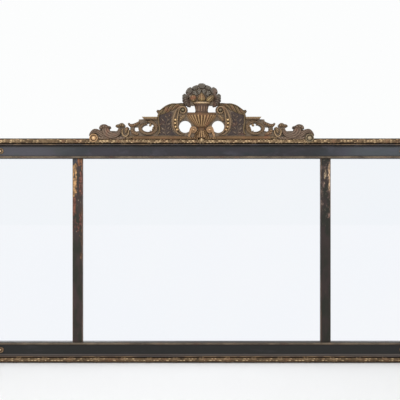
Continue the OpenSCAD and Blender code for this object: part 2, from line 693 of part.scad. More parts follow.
module ring_shape(x) {
    translate([x, knuckle_r, hanger_z]) {
        translate([-ring_half, 0, 0]) rotate([0, 90, 0]) cylinder(r = wire_r, h = 2 * ring_half, $fn = 32);
        for (s = [-1, 1]) translate([s * ring_half, 0, 0]) {
            sphere(r = wire_r, $fn = 32);
            translate([0, 0, -ring_side]) cylinder(r = wire_r, h = ring_side, $fn = 32);
        }
        translate([0, 0, -ring_side]) rotate([90, 0, 0]) rotate([0, 0, 180])
            rotate_extrude(angle = 180, $fn = 64) translate([ring_half, 0]) circle(r = wire_r, $fn = 32);
    }
}
module left_ring() { color(brass) ring_shape(-hanger_x); }
module right_ring() { color(brass) ring_shape(hanger_x); }
module hanger_screws() {
    color(brass) hanger_screw_places() {
        rotate([90, 0, 0]) cylinder(r = screw_r, h = screw_bite, $fn = 24);
        translate([0, strap_t, 0]) rotate([90, 0, 0]) cylinder(r = screw_r, h = strap_t + cut, $fn = 24);
        translate([0, strap_t, 0]) rotate([-90, 0, 0]) cylinder(r = head_r, h = head_h, $fn = 24);
    }
}

top_rail();
bottom_rail();
left_stile();
right_stile();
top_moulding();
bottom_moulding();
left_moulding();
right_moulding();
top_sight_bead();
bottom_sight_bead();
left_sight_bead();
right_sight_bead();
left_mullion();
right_mullion();
top_left_corner();
top_right_corner();
bottom_left_corner();
bottom_right_corner();
left_mirror();
centre_mirror();
right_mirror();
left_backboard();
centre_backboard();
right_backboard();
glazing_blocks();
backboard_screws();
crest_board();
crest_strip();
crest_brackets();
bracket_screws();
urn_rim();
urn_neck();
urn_bowl();
urn_foot();
urn_pendant();
shell_fan();
shell_petals();
scroll_pearls();
left_foot_scroll();
right_foot_scroll();
left_c_scroll();
right_c_scroll();
left_arch_leaf();
right_arch_leaf();
left_oval_scroll();
right_oval_scroll();
left_wing_leaf();
right_wing_leaf();
left_curl_volute();
right_curl_volute();
left_end_scroll();
right_end_scroll();
left_hanger();
right_hanger();
left_ring();
right_ring();
hanger_screws();
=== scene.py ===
import math

import bpy
import numpy as np
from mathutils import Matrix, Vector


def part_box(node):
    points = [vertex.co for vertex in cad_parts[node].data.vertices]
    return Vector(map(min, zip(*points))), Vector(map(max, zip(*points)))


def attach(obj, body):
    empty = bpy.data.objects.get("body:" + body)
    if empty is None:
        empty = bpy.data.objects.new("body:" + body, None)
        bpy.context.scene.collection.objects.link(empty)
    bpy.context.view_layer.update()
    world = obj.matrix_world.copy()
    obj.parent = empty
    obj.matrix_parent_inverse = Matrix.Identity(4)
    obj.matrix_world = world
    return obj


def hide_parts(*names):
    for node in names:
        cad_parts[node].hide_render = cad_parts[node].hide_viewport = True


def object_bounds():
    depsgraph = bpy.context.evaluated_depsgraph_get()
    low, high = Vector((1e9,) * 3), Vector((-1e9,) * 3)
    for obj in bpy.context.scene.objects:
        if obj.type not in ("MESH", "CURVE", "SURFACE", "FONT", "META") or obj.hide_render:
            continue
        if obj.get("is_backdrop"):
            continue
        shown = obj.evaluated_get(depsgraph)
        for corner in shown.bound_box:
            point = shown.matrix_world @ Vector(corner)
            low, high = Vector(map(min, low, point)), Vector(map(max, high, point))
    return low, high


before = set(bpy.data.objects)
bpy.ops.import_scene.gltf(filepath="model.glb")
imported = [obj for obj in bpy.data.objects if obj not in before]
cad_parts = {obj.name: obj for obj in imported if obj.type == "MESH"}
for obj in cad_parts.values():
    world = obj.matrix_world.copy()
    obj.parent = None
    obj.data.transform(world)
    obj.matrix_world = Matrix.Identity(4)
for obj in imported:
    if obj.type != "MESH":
        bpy.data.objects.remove(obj)        # bodies, nodes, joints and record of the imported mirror
cad_low, cad_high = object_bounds()


# ---- Camera ----
# The picture is taken square on, level with the upper part of the glass, from
# about 2.2 m; the frame's ends lie outside the view.
lens_mm = 66.0
camera_distance = 2.216
camera_height = 0.4844
camera_shift_x = -0.0048
camera = bpy.data.objects.new("camera", bpy.data.cameras.new("camera"))
bpy.context.scene.collection.objects.link(camera)
camera.data.lens = lens_mm
camera.location = (camera_shift_x, -camera_distance, camera_height)
camera.rotation_euler = (math.radians(90), 0, 0)
bpy.context.scene.camera = camera


# ---- Rails ----
# Four lengths of softwood moulding, mitred and glued at the corners. The front is ebonised:
# black polish with a greyish bloom, rubbed bare on the arrises, with traces of gilding on
# the fillet; the outer edges are a dusty stain. The back and the rebates are bare pine.
# Painted sheen lightens the upper parts and the ends, painted shade darkens the coves and
# the foot of the lip, and painted light brightens the bottom rail's upward-facing cove.
mm = 0.001
frame_w = cad_high.x - cad_low.x
frame_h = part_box("left_stile")[1].z
moulding_w = 17 * mm
rail_w = 60 * mm


def curve_points(centre, radius, first, last, steps):
    """Points of an arc: centre + radius * (cos a, sin a), a from first to last degrees."""
    turn = np.radians(np.linspace(first, last, steps))[:, None]
    return np.array(centre) + radius * np.hstack([np.cos(turn), np.sin(turn)])


def sides_of_frame():
    """Each side's name, length, middle of its outer edge, and unit steps along it and inward, in X, Z."""
    half_w, half_h = frame_w / 2, frame_h / 2
    return [("bottom", frame_w, (0, 0), (1, 0), (0, 1)),
            ("right", frame_h, (half_w, half_h), (0, 1), (-1, 0)),
            ("top", frame_w, (0, frame_h), (-1, 0), (0, -1)),
            ("left", frame_h, (-half_w, half_h), (0, -1), (1, 0))]


def mitred_run(profile, side, step):
    """A profile of (inward u, forward d), one for all rows or one a row, carried along one side and cut
    to the mitre: along = share * (length / 2 - u), so that the grid closes at both 45 degree ends."""
    length, start, along, inward = side[1:]
    rows = int(length / step) + 1
    share = np.linspace(-1, 1, rows)[:, None]
    u, d = profile[..., 0], profile[..., 1]
    run = share * (length / 2 - u)
    return np.stack([start[0] + along[0] * run + inward[0] * u,
                     -d + 0 * run,
                     start[1] + along[1] * run + inward[1] * u], axis=-1)


def solid(name, grids, material, smooth_angle=35):
    """One mesh object out of closed grids. A grid is (points[row, column, xyz], marks) with its columns
    joined round and its two end rows closed by a flat face; marks are named values per point. A grid
    that comes out inside out, by the sign of its volume, is turned."""
    points, faces, offset = [], [], 0
    marks = {key: [] for grid, values in grids for key in values}
    for grid, values in grids:
        rows, columns = grid.shape[:2]
        number = offset + np.arange(rows * columns).reshape(rows, columns)
        right = np.roll(number, -1, axis=1)
        quads = np.stack([number[:-1], right[:-1], right[1:], number[1:]], axis=-1).reshape(-1, 4)
        corner = grid.reshape(-1, 3)[quads - offset]
        middle = grid.reshape(-1, 3).mean(axis=0)
        a, b, c, d = (corner[:, k] - middle for k in range(4))
        volume = np.einsum("ij,ij->i", a, np.cross(b, c) + np.cross(c, d)).sum()
        ends = [number[0][::-1].tolist(), number[-1].tolist()]
        cells = quads.tolist() + ends
        faces += cells if volume > 0 else [cell[::-1] for cell in cells]
        points.append(grid.reshape(-1, 3))
        for key in marks:
            marks[key].append(np.broadcast_to(values.get(key, 0.0), (rows, columns)).reshape(-1))
        offset += rows * columns
    mesh = bpy.data.meshes.new(name)
    mesh.from_pydata(np.concatenate(points), [], faces)
    for key, values in marks.items():
        layer = mesh.attributes.new(key, "FLOAT", "POINT")
        layer.data.foreach_set("value", np.concatenate(values).astype(np.float32))
    mesh.shade_smooth()
    mesh.set_sharp_from_angle(angle=math.radians(smooth_angle))
    mesh.materials.append(material)
    made = bpy.data.objects.new(name, mesh)
    bpy.context.scene.collection.objects.link(made)
    return made


class Coat:
    """One material, built up in steps: each step adds a shader node and gives its result, as a socket."""

    def __init__(self, owner):
        """The owner is the name of a new material, or the world."""
        self.owner = bpy.data.materials.new(owner) if isinstance(owner, str) else owner
        self.owner.use_nodes = True
        self.tree = self.owner.node_tree
        self.place = self.add("ShaderNodeTexCoord").outputs["Object"]

    def put(self, value, socket):
        """A result is linked to the socket, a number or a colour is set on it."""
        if isinstance(value, bpy.types.NodeSocket):
            self.tree.links.new(value, socket)
        elif isinstance(value, tuple) and len(socket.default_value) == 4:
            socket.default_value = (*value, 1)
        else:
            socket.default_value = value

    def add(self, kind, inputs=None, **settings):
        """A node of this kind with its settings, its inputs given by name or number."""
        made = self.tree.nodes.new(kind)
        for key, value in settings.items():
            setattr(made, key, value)
        for key, value in (inputs or {}).items():
            self.put(value, made.inputs[key])
        return made

    def maths(self, operation, a, b=0.0, clamp=False):
        return self.add("ShaderNodeMath", {0: a, 1: b}, operation=operation, use_clamp=clamp).outputs[0]

    def times(self, a, b, clamp=False):
        return self.maths("MULTIPLY", a, b, clamp)

    def plus(self, a, b, clamp=False):
        return self.maths("ADD", a, b, clamp)

    def minus(self, a, b):
        return self.maths("SUBTRACT", a, b)

    def most(self, a, b):
        return self.maths("MAXIMUM", a, b)

    def over(self, value, limit):
        """1 where value is over the limit, else 0."""
        return self.maths("GREATER_THAN", value, limit)

    def step(self, value, low, high, top=1.0):
        """Smooth step of value from 0 at low to top at high."""
        inputs = {"Value": value, "From Min": low, "From Max": high, "To Max": top}
        return self.add("ShaderNodeMapRange", inputs, interpolation_type="SMOOTHSTEP").outputs[0]

    def spread(self, value, low, high):
        """A value of 0 to 1 spread evenly over low to high."""
        return self.add("ShaderNodeMapRange", {"Value": value, "To Min": low, "To Max": high}).outputs[0]

    def blend(self, share, first, second):
        """The first colour where share is 0, the second where it is 1."""
        return self.add("ShaderNodeMix", {0: share, 6: first, 7: second}, data_type="RGBA").outputs[2]

    def noise(self, scale, detail=4.0, rough=0.55, stretch=(1, 1, 1)):
        """Fractal noise, 0 to 1, on the object's coordinates, drawn out by stretch."""
        place = self.add("ShaderNodeMapping", {"Vector": self.place, "Scale": stretch}).outputs[0]
        inputs = {"Vector": place, "Scale": scale, "Detail": detail, "Roughness": rough}
        return self.add("ShaderNodeTexNoise", inputs).outputs["Fac"]

    def mark(self, name):
        """A value that the mesh carries at each point."""
        return self.add("ShaderNodeAttribute", attribute_name=name).outputs["Fac"]

    def axis(self, number, vector=None):
        """X, Y or Z of the object's coordinates, or of another vector."""
        return self.add("ShaderNodeSeparateXYZ", {0: vector or self.place}).outputs[number]

    def facing_up(self, top):
        """0 on an upright face, top on one that lies level and faces up."""
        normal = self.add("ShaderNodeNewGeometry").outputs["Normal"]
        return self.step(self.axis(2, normal), 0.35, 0.9, top)

    def laid(self, inputs, height=None, strength=0.0, distance=0.0):
        """The finished material: the inputs of its Principled shader, and a bump that follows height."""
        shader = self.tree.nodes["Principled BSDF"]
        if height is not None:
            relief = {"Height": height, "Strength": strength, "Distance": distance}
            self.put(self.add("ShaderNodeBump", relief).outputs[0], shader.inputs["Normal"])
        for key, value in inputs.items():
            self.put(value, shader.inputs[key])
        return self.owner


def bare_pine(coat):
    """Colour of old bare softwood: growth rings, fibres and pores from noise drawn out along X, or
    along Z where the mark upright is set, and a little dirt."""
    upright = coat.mark("upright")
    grain = []
    for scale, long in ((55, 0.035), (330, 0.03), (700, 0.05)):
        lying = coat.noise(scale, 6, 0.6, (long, 1, 1))
        standing = coat.noise(scale, 6, 0.6, (1, 1, long))
        grain.append(coat.add("ShaderNodeMix", {0: upright, 2: lying, 3: standing}).outputs[0])
    rings, fibres, pores = grain
    wood = coat.blend(coat.step(rings, 0.40, 0.60), (0.27, 0.17, 0.09), (0.43, 0.295, 0.165))
    wood = coat.blend(coat.step(fibres, 0.5, 0.68, 0.45), wood, (0.19, 0.115, 0.06))
    wood = coat.blend(coat.step(pores, 0.62, 0.7, 0.6), wood, (0.10, 0.06, 0.035))
    return coat.blend(coat.step(coat.noise(7, 6, 0.65), 0.5, 0.75, 0.55), wood, (0.16, 0.11, 0.07))


def black_under_bloom_and_sheen(coat, high, cloud):
    """Black polish under a grey bloom that grows with the height, partly a real bloom and partly painted
    sheen of the light from above, and a painted sheen, lighter still, toward the frame's two ends.
    """
    x = coat.axis(0)
    # bloom colour, laid on the upper parts only: real bloom and painted sheen
    bloom_and_sheen = coat.blend(coat.step(coat.noise(24, 4, 0.6, (0.4, 1, 1)), 0.42, 0.6),
                       (0.023, 0.027, 0.033), (0.031, 0.027, 0.036))
    # painted sheen: a lighter tone on the upper parts toward the frame's two ends
    painted_end_sheen = coat.blend(coat.step(x, -0.3, 0.3), (0.045, 0.047, 0.052), (0.056, 0.063, 0.075))
    tint = coat.blend(coat.step(coat.noise(16, 3, 0.6, (0.5, 1, 1)), 0.42, 0.58),
                      (0.044, 0.052, 0.050), (0.059, 0.053, 0.070))
    painted_end_sheen = coat.blend(0.45, painted_end_sheen, tint)
    black = coat.blend(coat.times(high, coat.step(cloud, 0.2, 0.8)), (0.013, 0.013, 0.0125), bloom_and_sheen)
    # the painted sheen is laid where the frame is high and toward its ends
    outward = coat.step(coat.maths("ABSOLUTE", x), 0.33, 0.5)
    return coat.blend(coat.times(high, outward), black, painted_end_sheen)


def ebonised_wood():
    """Bloomed black polish with painted sheen on the upper parts and toward the ends, fine rubs, painted
    shade in the cove and at the lip's foot, painted light in the bottom rail's upward-facing cove, a
    dusty stain on the outer edge, red-brown wood with traces of gold on the fillet's arrises, a few
    chips, and bare pine on the back."""
    coat = Coat("ebonised_wood")
    # high grows with Z: it lays the bloom and the painted sheen on the upper parts
    high = coat.step(coat.axis(2), 0.1, 0.6)
    cloud = coat.noise(5, 5, 0.6, (0.5, 1, 1))
    clouded = coat.step(cloud, 0.35, 0.65)
    streak = coat.noise(60, 6, 0.7, (0.15, 1, 1))
    arris = coat.mark("arris")
    colour = black_under_bloom_and_sheen(coat, high, cloud)
    colour = coat.blend(coat.step(streak, 0.55, 0.8, 0.4), colour, (0.052, 0.049, 0.055))
    # painted shade: the cove under the moulding and the foot of the lip, darkened
    colour = coat.blend(coat.mark("dirt"), colour, (0.012, 0.010, 0.008))
    # painted light: the bottom rail's cove faces up and is painted as lit, brown-grey
    silt = coat.blend(clouded, (0.052, 0.040, 0.036), (0.078, 0.064, 0.056))
    colour = coat.blend(coat.mark("silt"), colour, silt)
    colour = coat.blend(coat.times(arris, 0.6), colour, (0.070, 0.052, 0.044))
    stain = coat.blend(clouded, (0.014, 0.013, 0.012), (0.030, 0.026, 0.022))
    colour = coat.blend(coat.mark("edge"), colour, stain)
    bare = coat.times(arris, coat.step(coat.noise(14, 6, 0.65, (0.6, 1, 1)), 0.40, 0.56), clamp=True)
    rubbed = coat.step(coat.noise(40, 4, 0.6), 0.45, 0.62)
    colour = coat.blend(bare, colour, coat.blend(rubbed, (0.070, 0.045, 0.030), (0.15, 0.095, 0.052)))
    chips = coat.over(coat.noise(210, 4, 0.6, (0.6, 1, 1)), 0.755)
    colour = coat.blend(chips, colour, (0.20, 0.17, 0.145))
    # a tinge in the painted sheen, on the upper parts only
    tinge = coat.times(high, coat.step(coat.noise(38, 5, 0.6, (0.5, 1, 1)), 0.52, 0.7, 0.35))
    colour = coat.blend(tinge, colour, (0.066, 0.062, 0.080))
    back = coat.over(coat.axis(1), -1.2 * mm)
    colour = coat.blend(back, colour, bare_pine(coat))
    rough = coat.plus(coat.spread(streak, 0.34, 0.55), coat.times(back, 0.3), clamp=True)
    return coat.laid({"Base Color": colour, "Roughness": rough, "Specular IOR Level": 0.22},
                     streak, 0.12, 0.0004)


seat_d, fillet_d, frieze_d, glass_d, board_t = 30 * mm, 37 * mm, 29 * mm, 16 * mm, 6 * mm
fillet_w, cove_r, bead_w, lip_t, rebate_w, step_w = 3 * mm, 5 * mm, 8 * mm, 9 * mm, 8 * mm, 8 * mm
lip_d = glass_d + lip_t
fillet_u = moulding_w + fillet_w
lip_u = rail_w - bead_w
arris_r = 0.7 * mm
rebate_u = rail_w - rebate_w
cove_u = fillet_u + cove_r
rail_profile = np.vstack([
    [[0, 0], [0, seat_d], [moulding_w, seat_d]],
    curve_points((moulding_w + arris_r, fillet_d - arris_r), arris_r, 180, 90, 4),
    curve_points((fillet_u - arris_r, fillet_d - arris_r), arris_r, 90, 0, 4),
    curve_points((cove_u, frieze_d + cove_r), cove_r, 180, 270, 10),
    [[cove_u + 0.6 * mm, frieze_d], [cove_u + 2 * mm, frieze_d], [lip_u - 1 * mm, frieze_d]],
    [[lip_u, frieze_d], [lip_u, lip_d], [rail_w, lip_d], [rail_w, glass_d], [rebate_u, glass_d]],
    [[rebate_u, board_t], [rebate_u - step_w, board_t], [rebate_u - step_w, 0]]])
profile_u, profile_d = rail_profile.T
near = 0.1 * mm
arris_at = np.abs(profile_u - (fillet_u + moulding_w) / 2) < fillet_w / 2 + near
arris_at &= profile_d > fillet_d - 2 * arris_r
# painted shade lies at the foot of the cove and at the foot of the lip
cove_foot = (np.abs(profile_u - cove_u) < 8 * near) & (profile_d < frieze_d + cove_r / 2)
shade_at = cove_foot | (profile_u == lip_u)
cove_at = (profile_u > fillet_u - near) & (profile_u < cove_u + 3 * near) & (profile_d >= frieze_d)
outer_edge = profile_u == 0
black_polish = ebonised_wood()
rail_step = 0.1
for side in sides_of_frame():
    rail_name = side[0] + ("_rail" if side[0] in ("top", "bottom") else "_stile")
    upright = side[0] in ("left", "right")
    # the bottom rail, whose cove faces up, takes painted light in it
    up_face_shading = side[0] == "bottom"
    # painted shade fills the cove of the top rail and the stiles; the bottom rail has painted light in its
    # cove and painted shade only at the two feet
    marks = {"arris": arris_at * 1.0, "dirt": np.where(cove_at & (not up_face_shading), 0.75, shade_at * 1.0),
             "silt": cove_at * 0.85 * up_face_shading, "upright": upright * 1.0, "edge": outer_edge * 1.0}
    rail = solid(rail_name + "_wood", [(mitred_run(rail_profile, side, rail_step), marks)], black_polish)
    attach(rail, "frame")
    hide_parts(rail_name)


# ---- Gilt outer moulding ----
# Pressed composition ornament, glued along the outer edge of each rail and gilt: laurel
# leaves in bundles that a crossed ribbon ties. The gold is toned brown, the red bole shows
# in patches, and dirt lies in the hollows. Painted shade darkens the sides of the half round,
# most the side turned down; painted light brightens the top length under the crest.
leaf_pitch = 9.8 * mm
leaves_to_bundle = 8
tie_half = 7 * mm
moulding_r = moulding_w / 2
moulding_axis_d = 35 * mm
leaf_depth = 0.34


def laurel(run, angle):
    """Height and gilding of the leaf pattern, 0 to 1, at run metres along and angle round the half
    circle. Three rows of leaves point one way; each is a ramp along its length a, rounded across b,
    with a midrib. Near the ends of a bundle a ribbon in two crossed strands lies over them. The gilding
    follows the height, is best kept on the middle row, and is rubbed by another share on each leaf n:
    0.4 + 1.1 (0.5 + 0.5 sin(7.3 n + 3 sin(1.7 n) + 1.9 row))."""
    across = -np.cos(angle) * 1.5
    row = np.round(across)
    b = (across - row) * 2
    phase = run / leaf_pitch + 0.5 * np.abs(row) - 0.25 * np.abs(b)
    n = np.floor(phase)
    a = phase - n
    leaf = np.clip(1 - np.abs(b) ** 2.2 / np.clip(1.05 - a ** 3, 0.05, 1), 0, 1) * (0.35 + 0.65 * a)
    leaf = np.maximum(leaf, 0.32 * (1 - a)) - 0.18 * np.exp(-(b / 0.13) ** 2) * (a < 0.85)
    kept = 0.4 + 1.1 * (0.5 + 0.5 * np.sin(7.3 * n + 3 * np.sin(1.7 * n) + 1.9 * row))
    tie = run / (leaf_pitch * leaves_to_bundle)
    off = (tie - np.round(tie)) * leaf_pitch * leaves_to_bundle / tie_half
    strand = np.minimum(np.abs(off - 0.5 * across), np.abs(off + 0.5 * across))
    ribbon = 1 - 0.75 * np.clip(strand / 0.5, 0, 1) ** 2
    tied = np.abs(off) < 1
    height = np.where(tied, 0.35 + 0.5 * ribbon, np.clip(leaf, 0, 1))
    return height, height * np.where(tied, 0.45, (1.1 - 0.5 * np.abs(row)) * kept)


def gilding(name, gold, patina, hollow, shine=0.55, red=0.35, gold_from=0.35, broad=0.6, up_face_shading=0.65):
    """Toned gilding: hollow, patina and gold by the height of the carving, broken up by noise, with
    patches of red bole, also where the mark bole is set; grey dust, darkened into painted shade, on
    what faces up; and painted shade, dark, matt and without shine, where the mesh marks it."""
    coat = Coat(name)
    fine = coat.noise(260, 5, 0.65)
    wide = coat.noise(22, 4, 0.6)
    lift = coat.plus(coat.mark("ridge"), coat.times(coat.minus(fine, 0.5), 0.55))
    lift = coat.plus(lift, coat.times(coat.minus(wide, 0.5), broad))
    bright = coat.step(lift, gold_from + 0.1, gold_from + 0.75)
    colour = coat.blend(coat.step(lift, -0.12, 0.28), hollow, patina)
    colour = coat.blend(bright, colour, gold)
    bole = coat.most(coat.step(coat.noise(35, 5, 0.6), 0.52, 0.68, red),
                     coat.times(coat.mark("bole"), coat.step(fine, 0.2, 0.5)))
    colour = coat.blend(bole, colour, (0.25, 0.095, 0.055))
    # grey dust on what faces up, darkened into painted shade of the upper faces
    dust_and_shade = coat.times(coat.facing_up(up_face_shading), coat.step(coat.noise(60, 3), 0.2, 0.5))
    colour = coat.blend(dust_and_shade, colour, (0.052, 0.044, 0.038))
    # painted shade where the mesh marks it: dark, matt and without shine
    dirt = coat.mark("dirt")
    colour = coat.blend(dirt, colour, (0.020, 0.014, 0.009))
    unshaded = coat.minus(1.0, dirt)
    return coat.laid({"Base Color": colour,
                      "Metallic": coat.times(coat.times(bright, shine), unshaded),
                      "Roughness": coat.spread(bright, 0.62, 0.4),
                      "Specular IOR Level": coat.times(unshaded, 0.2)},
                     coat.times(coat.plus(fine, wide), 0.5), 0.35, 0.0008)


gilt_moulding = gilding("gilt_moulding", (0.80, 0.575, 0.325), (0.160, 0.102, 0.054),
                        (0.026, 0.017, 0.010), red=0.24, gold_from=0.22, broad=0.7, up_face_shading=0.1)
around = np.linspace(0, math.pi, 25)
laurel_step = 1.1 * mm
# how far round the half circle painted shade lies, in radians: on its outer side, and toward the glass
outer_shade = {"bottom": 1.9, "right": 0.6, "top": 0.1, "left": 0.6}
inner_shade = {"bottom": 0.3, "right": 0.6, "top": 0.95, "left": 0.6}
# painted light on the middle of the top moulding, where the crest casts its shadow: half that length, and
# the extra gilding it paints
lit_middle_x, lit_middle_gold = 330 * mm, 0.17


def leafed_profile(run):
    """The moulding's section at each run: a half circle whose radius is moulding_r (1 - leaf_depth (1 -
    height)), closed by a flat foot on the rail; and the gilding at each of its points."""
    high, gilt = laurel(run, around[None, :])
    radius = moulding_r * (1 - leaf_depth * (1 - high))
    foot = np.broadcast_to([[moulding_w, 0.0]], (len(run), 2))
    u = np.hstack([moulding_r - radius * np.cos(around), foot])
    d = np.hstack([moulding_axis_d + radius * np.sin(around), np.full(foot.shape, seat_d)])
    return np.stack([u, d], axis=-1), np.hstack([gilt, np.zeros(foot.shape)])


for side in sides_of_frame():
    name, length = side[:2]
    run = np.linspace(-1, 1, int(length / laurel_step) + 1)[:, None] * (length / 2 - moulding_r)
    profile, gilt = leafed_profile(run)
    # painted light: extra gold on the middle of the top moulding, against the crest's shadow
    if name == "top":
        gilt[:, :-2] += lit_middle_gold * (np.abs(run) < lit_middle_x)
    # painted shade on the sides of the half round, deepest on the side that faces down
    outer = np.clip(1 - around / outer_shade[name], 0, 1)
    inner = np.clip(1 - (math.pi - around) / inner_shade[name], 0, 1)
    shaded_sides = np.hstack([np.maximum(outer, inner) ** 0.5, [1.0, 1.0]])
    marks = {"ridge": gilt, "dirt": shaded_sides[None, :]}
    moulding = solid(name + "_laurel", [(mitred_run(profile, side, laurel_step), marks)], gilt_moulding)
    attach(moulding, "frame")
    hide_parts(name + "_moulding")


# ---- Sight beads ----
# A small half-round bead, gilt and rubbed, glued on the lip that holds the glass, one
# mitred length to a side.
bead_axis_d = lip_d + 3 * mm
bead_step = 20 * mm
bead_arc = curve_points((lip_u + bead_w / 2, bead_axis_d), bead_w / 2, 180, 0, 15)
bead_profile = np.vstack([[[lip_u, lip_d]], bead_arc, [[rail_w, lip_d]]])
bead_ridge = np.clip((bead_profile[:, 1] - lip_d) / (bead_arc[:, 1].max() - lip_d), 0, 1) ** 1.5
gilt_bead = gilding("gilt_bead", (0.158, 0.122, 0.083), (0.046, 0.035, 0.027), (0.016, 0.012, 0.009),
                    shine=0.3, red=0.12, gold_from=0.5, broad=1.2, up_face_shading=0.1)
for side in sides_of_frame():
    run = mitred_run(bead_profile, side, bead_step)
    bead = solid(side[0] + "_bead", [(run, {"ridge": bead_ridge})], gilt_bead)
    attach(bead, "frame")
    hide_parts(side[0] + "_sight_bead")


# ---- Mullions ----
# Two flat bars with eased arrises cover the joints between the plates, with a thin web
# between the plates behind. Black paint over gilding is worn through to red bole and gold
# on the upper half of the left bar and at the head of the right one.
def window(coat, value, low, high, soft):
    """1 where value lies between low and high, falling to 0 within soft on each side."""
    return coat.times(coat.step(value, low - soft, low + soft), coat.step(value, high + soft, high - soft))


# Zones of wear: bar, from and to across it (-1 its left edge, 1 its right edge), from and to in
# Z, how much of the paint is off, and the colour under it.
worn_zones = [("left", -1.4, 0.0, 0.500, 0.592, 0.40, (0.49, 0.275, 0.12)),
              ("left", 0.0, 1.4, 0.580, 0.63, 0.38, (0.30, 0.125, 0.062)),
              ("left", -1.4, 0.0, 0.590, 0.63, 0.34, (0.055, 0.066, 0.085)),
              ("left", 0.25, 1.4, 0.49, 0.578, 0.33, (0.22, 0.085, 0.060)),
              ("left", -1.4, -0.15, 0.43, 0.498, 0.40, (0.19, 0.072, 0.044)),
              ("left", 0.45, 1.4, 0.30, 0.49, 0.31, (0.14, 0.070, 0.037)),
              ("left", -1.4, 1.4, 0.388, 0.45, 0.31, (0.17, 0.060, 0.046)),
              ("left", -1.4, 1.4, 0.06, 0.388, 0.14, (0.12, 0.065, 0.05)),
              ("right", 0.6, 1.4, 0.505, 0.60, 0.41, (0.60, 0.41, 0.26)),
              ("right", -0.35, 0.5, 0.535, 0.58, 0.35, (0.40, 0.30, 0.19)),
              ("right", 0.3, 1.4, 0.42, 0.475, 0.31, (0.24, 0.15, 0.12)),
              ("right", -1.1, -0.4, 0.455, 0.51, 0.26, (0.30, 0.21, 0.14)),
              ("right", -1.4, 1.4, 0.43, 0.63, 0.28, (0.125, 0.084, 0.070)),
              ("right", -1.4, 1.4, 0.06, 0.43, 0.12, (0.13, 0.08, 0.06))]


def worn_paint():
    """Black paint over red bole and gold. Each zone is a window across the bar and in Z with ragged
    edges; the paint is off where flaky noise and the zone's share of it, larger at the bar's edges, add
    up to 0.8."""
    coat = Coat("worn_paint")
    on_left = coat.maths("LESS_THAN", coat.axis(0), 0.0)
    on_bar = {"left": on_left, "right": coat.minus(1.0, on_left)}
    flakes = coat.noise(85, 7, 0.75, (1, 1, 0.5))
    ragged = coat.minus(coat.noise(75, 5, 0.65, (1, 1, 0.6)), 0.5)
    across = coat.plus(coat.mark("across"), coat.times(ragged, 1.6))
    z = coat.plus(coat.axis(2), coat.times(ragged, 0.10))
    edges = coat.plus(0.75, coat.times(coat.maths("ABSOLUTE", coat.mark("across")), 0.25))
    mottle = coat.step(coat.noise(120, 5, 0.7, (1, 1, 0.6)), 0.42, 0.58)
    colour = coat.blend(coat.step(coat.noise(38, 5, 0.6, (1, 1, 0.4)), 0.40, 0.60),
                        (0.018, 0.018, 0.012), (0.036, 0.023, 0.021))
    colour = coat.blend(coat.times(on_bar["right"], 0.35), colour, (0.008, 0.008, 0.007))
    worn = 0.0
    for bar, across_low, across_high, z_low, z_high, off, under in worn_zones:
        zone = coat.times(window(coat, across, across_low, across_high, 0.12),
                          window(coat, z, z_low, z_high, 0.01))
        zone = coat.times(coat.times(zone, on_bar[bar]), off)
        bare = coat.step(coat.plus(flakes, coat.times(zone, edges)), 0.76, 0.82)
        under = coat.blend(mottle, tuple(0.35 * value for value in under), under)
        colour = coat.blend(coat.times(bare, coat.over(zone, 0.01)), colour, under)
        worn = coat.most(worn, bare)
    spots = coat.plus(coat.noise(190, 4, 0.6, (1, 1, 0.7)), coat.step(z, 0.36, 0.42, 0.06))
    colour = coat.blend(coat.times(coat.over(spots, 0.735), 0.7), colour, (0.33, 0.27, 0.20))
    rub = coat.times(coat.mark("arris"), coat.step(coat.noise(30, 5, 0.6, (1, 1, 0.2)), 0.45, 0.6))
    colour = coat.blend(rub, colour, (0.10, 0.058, 0.036))
    thick = coat.minus(coat.times(flakes, 0.3), worn)
    rough = coat.spread(worn, 0.4, 0.62)
    return coat.laid({"Base Color": colour, "Roughness": rough, "Specular IOR Level": 0.22},
                     thick, 0.5, 0.0003)


mullion_material = worn_paint()
web_half, eased = 3 * mm, 1.2 * mm


def bar(outline, z):
    """A section of (x, y) carried straight up from the first to the last z, about x = middle_x. Its
    marks are the place across the bar and the eased arrises in front."""
    z = np.asarray(z)[:, None]
    points = np.stack([middle_x + outline[:, 0] + 0 * z, outline[:, 1] + 0 * z, z + 0 * outline[:, 0]],
                      axis=-1)
    in_front = outline[:, 1] < low.y + 1.01 * eased
    on_arris = in_front & (np.abs(outline[:, 0]) > half_bar - 1.01 * eased)
    return points, {"arris": on_arris * 1.0, "across": outline[:, 0] / half_bar}


for hand in ("left", "right"):
    low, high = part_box(hand + "_mullion")
    middle_x, half_bar = (low.x + high.x) / 2, (high.x - low.x) / 2
    front_x = np.linspace(half_bar - 2 * eased, 2 * eased - half_bar, 11)
    section = np.vstack([
        [[half_bar, -glass_d]],
        curve_points((half_bar - eased, low.y + eased), eased, 0, -90, 5),
        np.column_stack([front_x, np.full(11, low.y)]),
        curve_points((eased - half_bar, low.y + eased), eased, -90, -180, 5),
        [[-half_bar, -glass_d]]])
    web = np.array([[web_half, -board_t], [web_half, -glass_d],
                    [-web_half, -glass_d], [-web_half, -board_t]])
    grids = [bar(section, np.linspace(rail_w, frame_h - rail_w, 24)), bar(web, (low.z, high.z))]
    mullion = solid(hand + "_bar", grids, mullion_material)
    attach(mullion, "frame")
    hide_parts(hand + "_mullion")


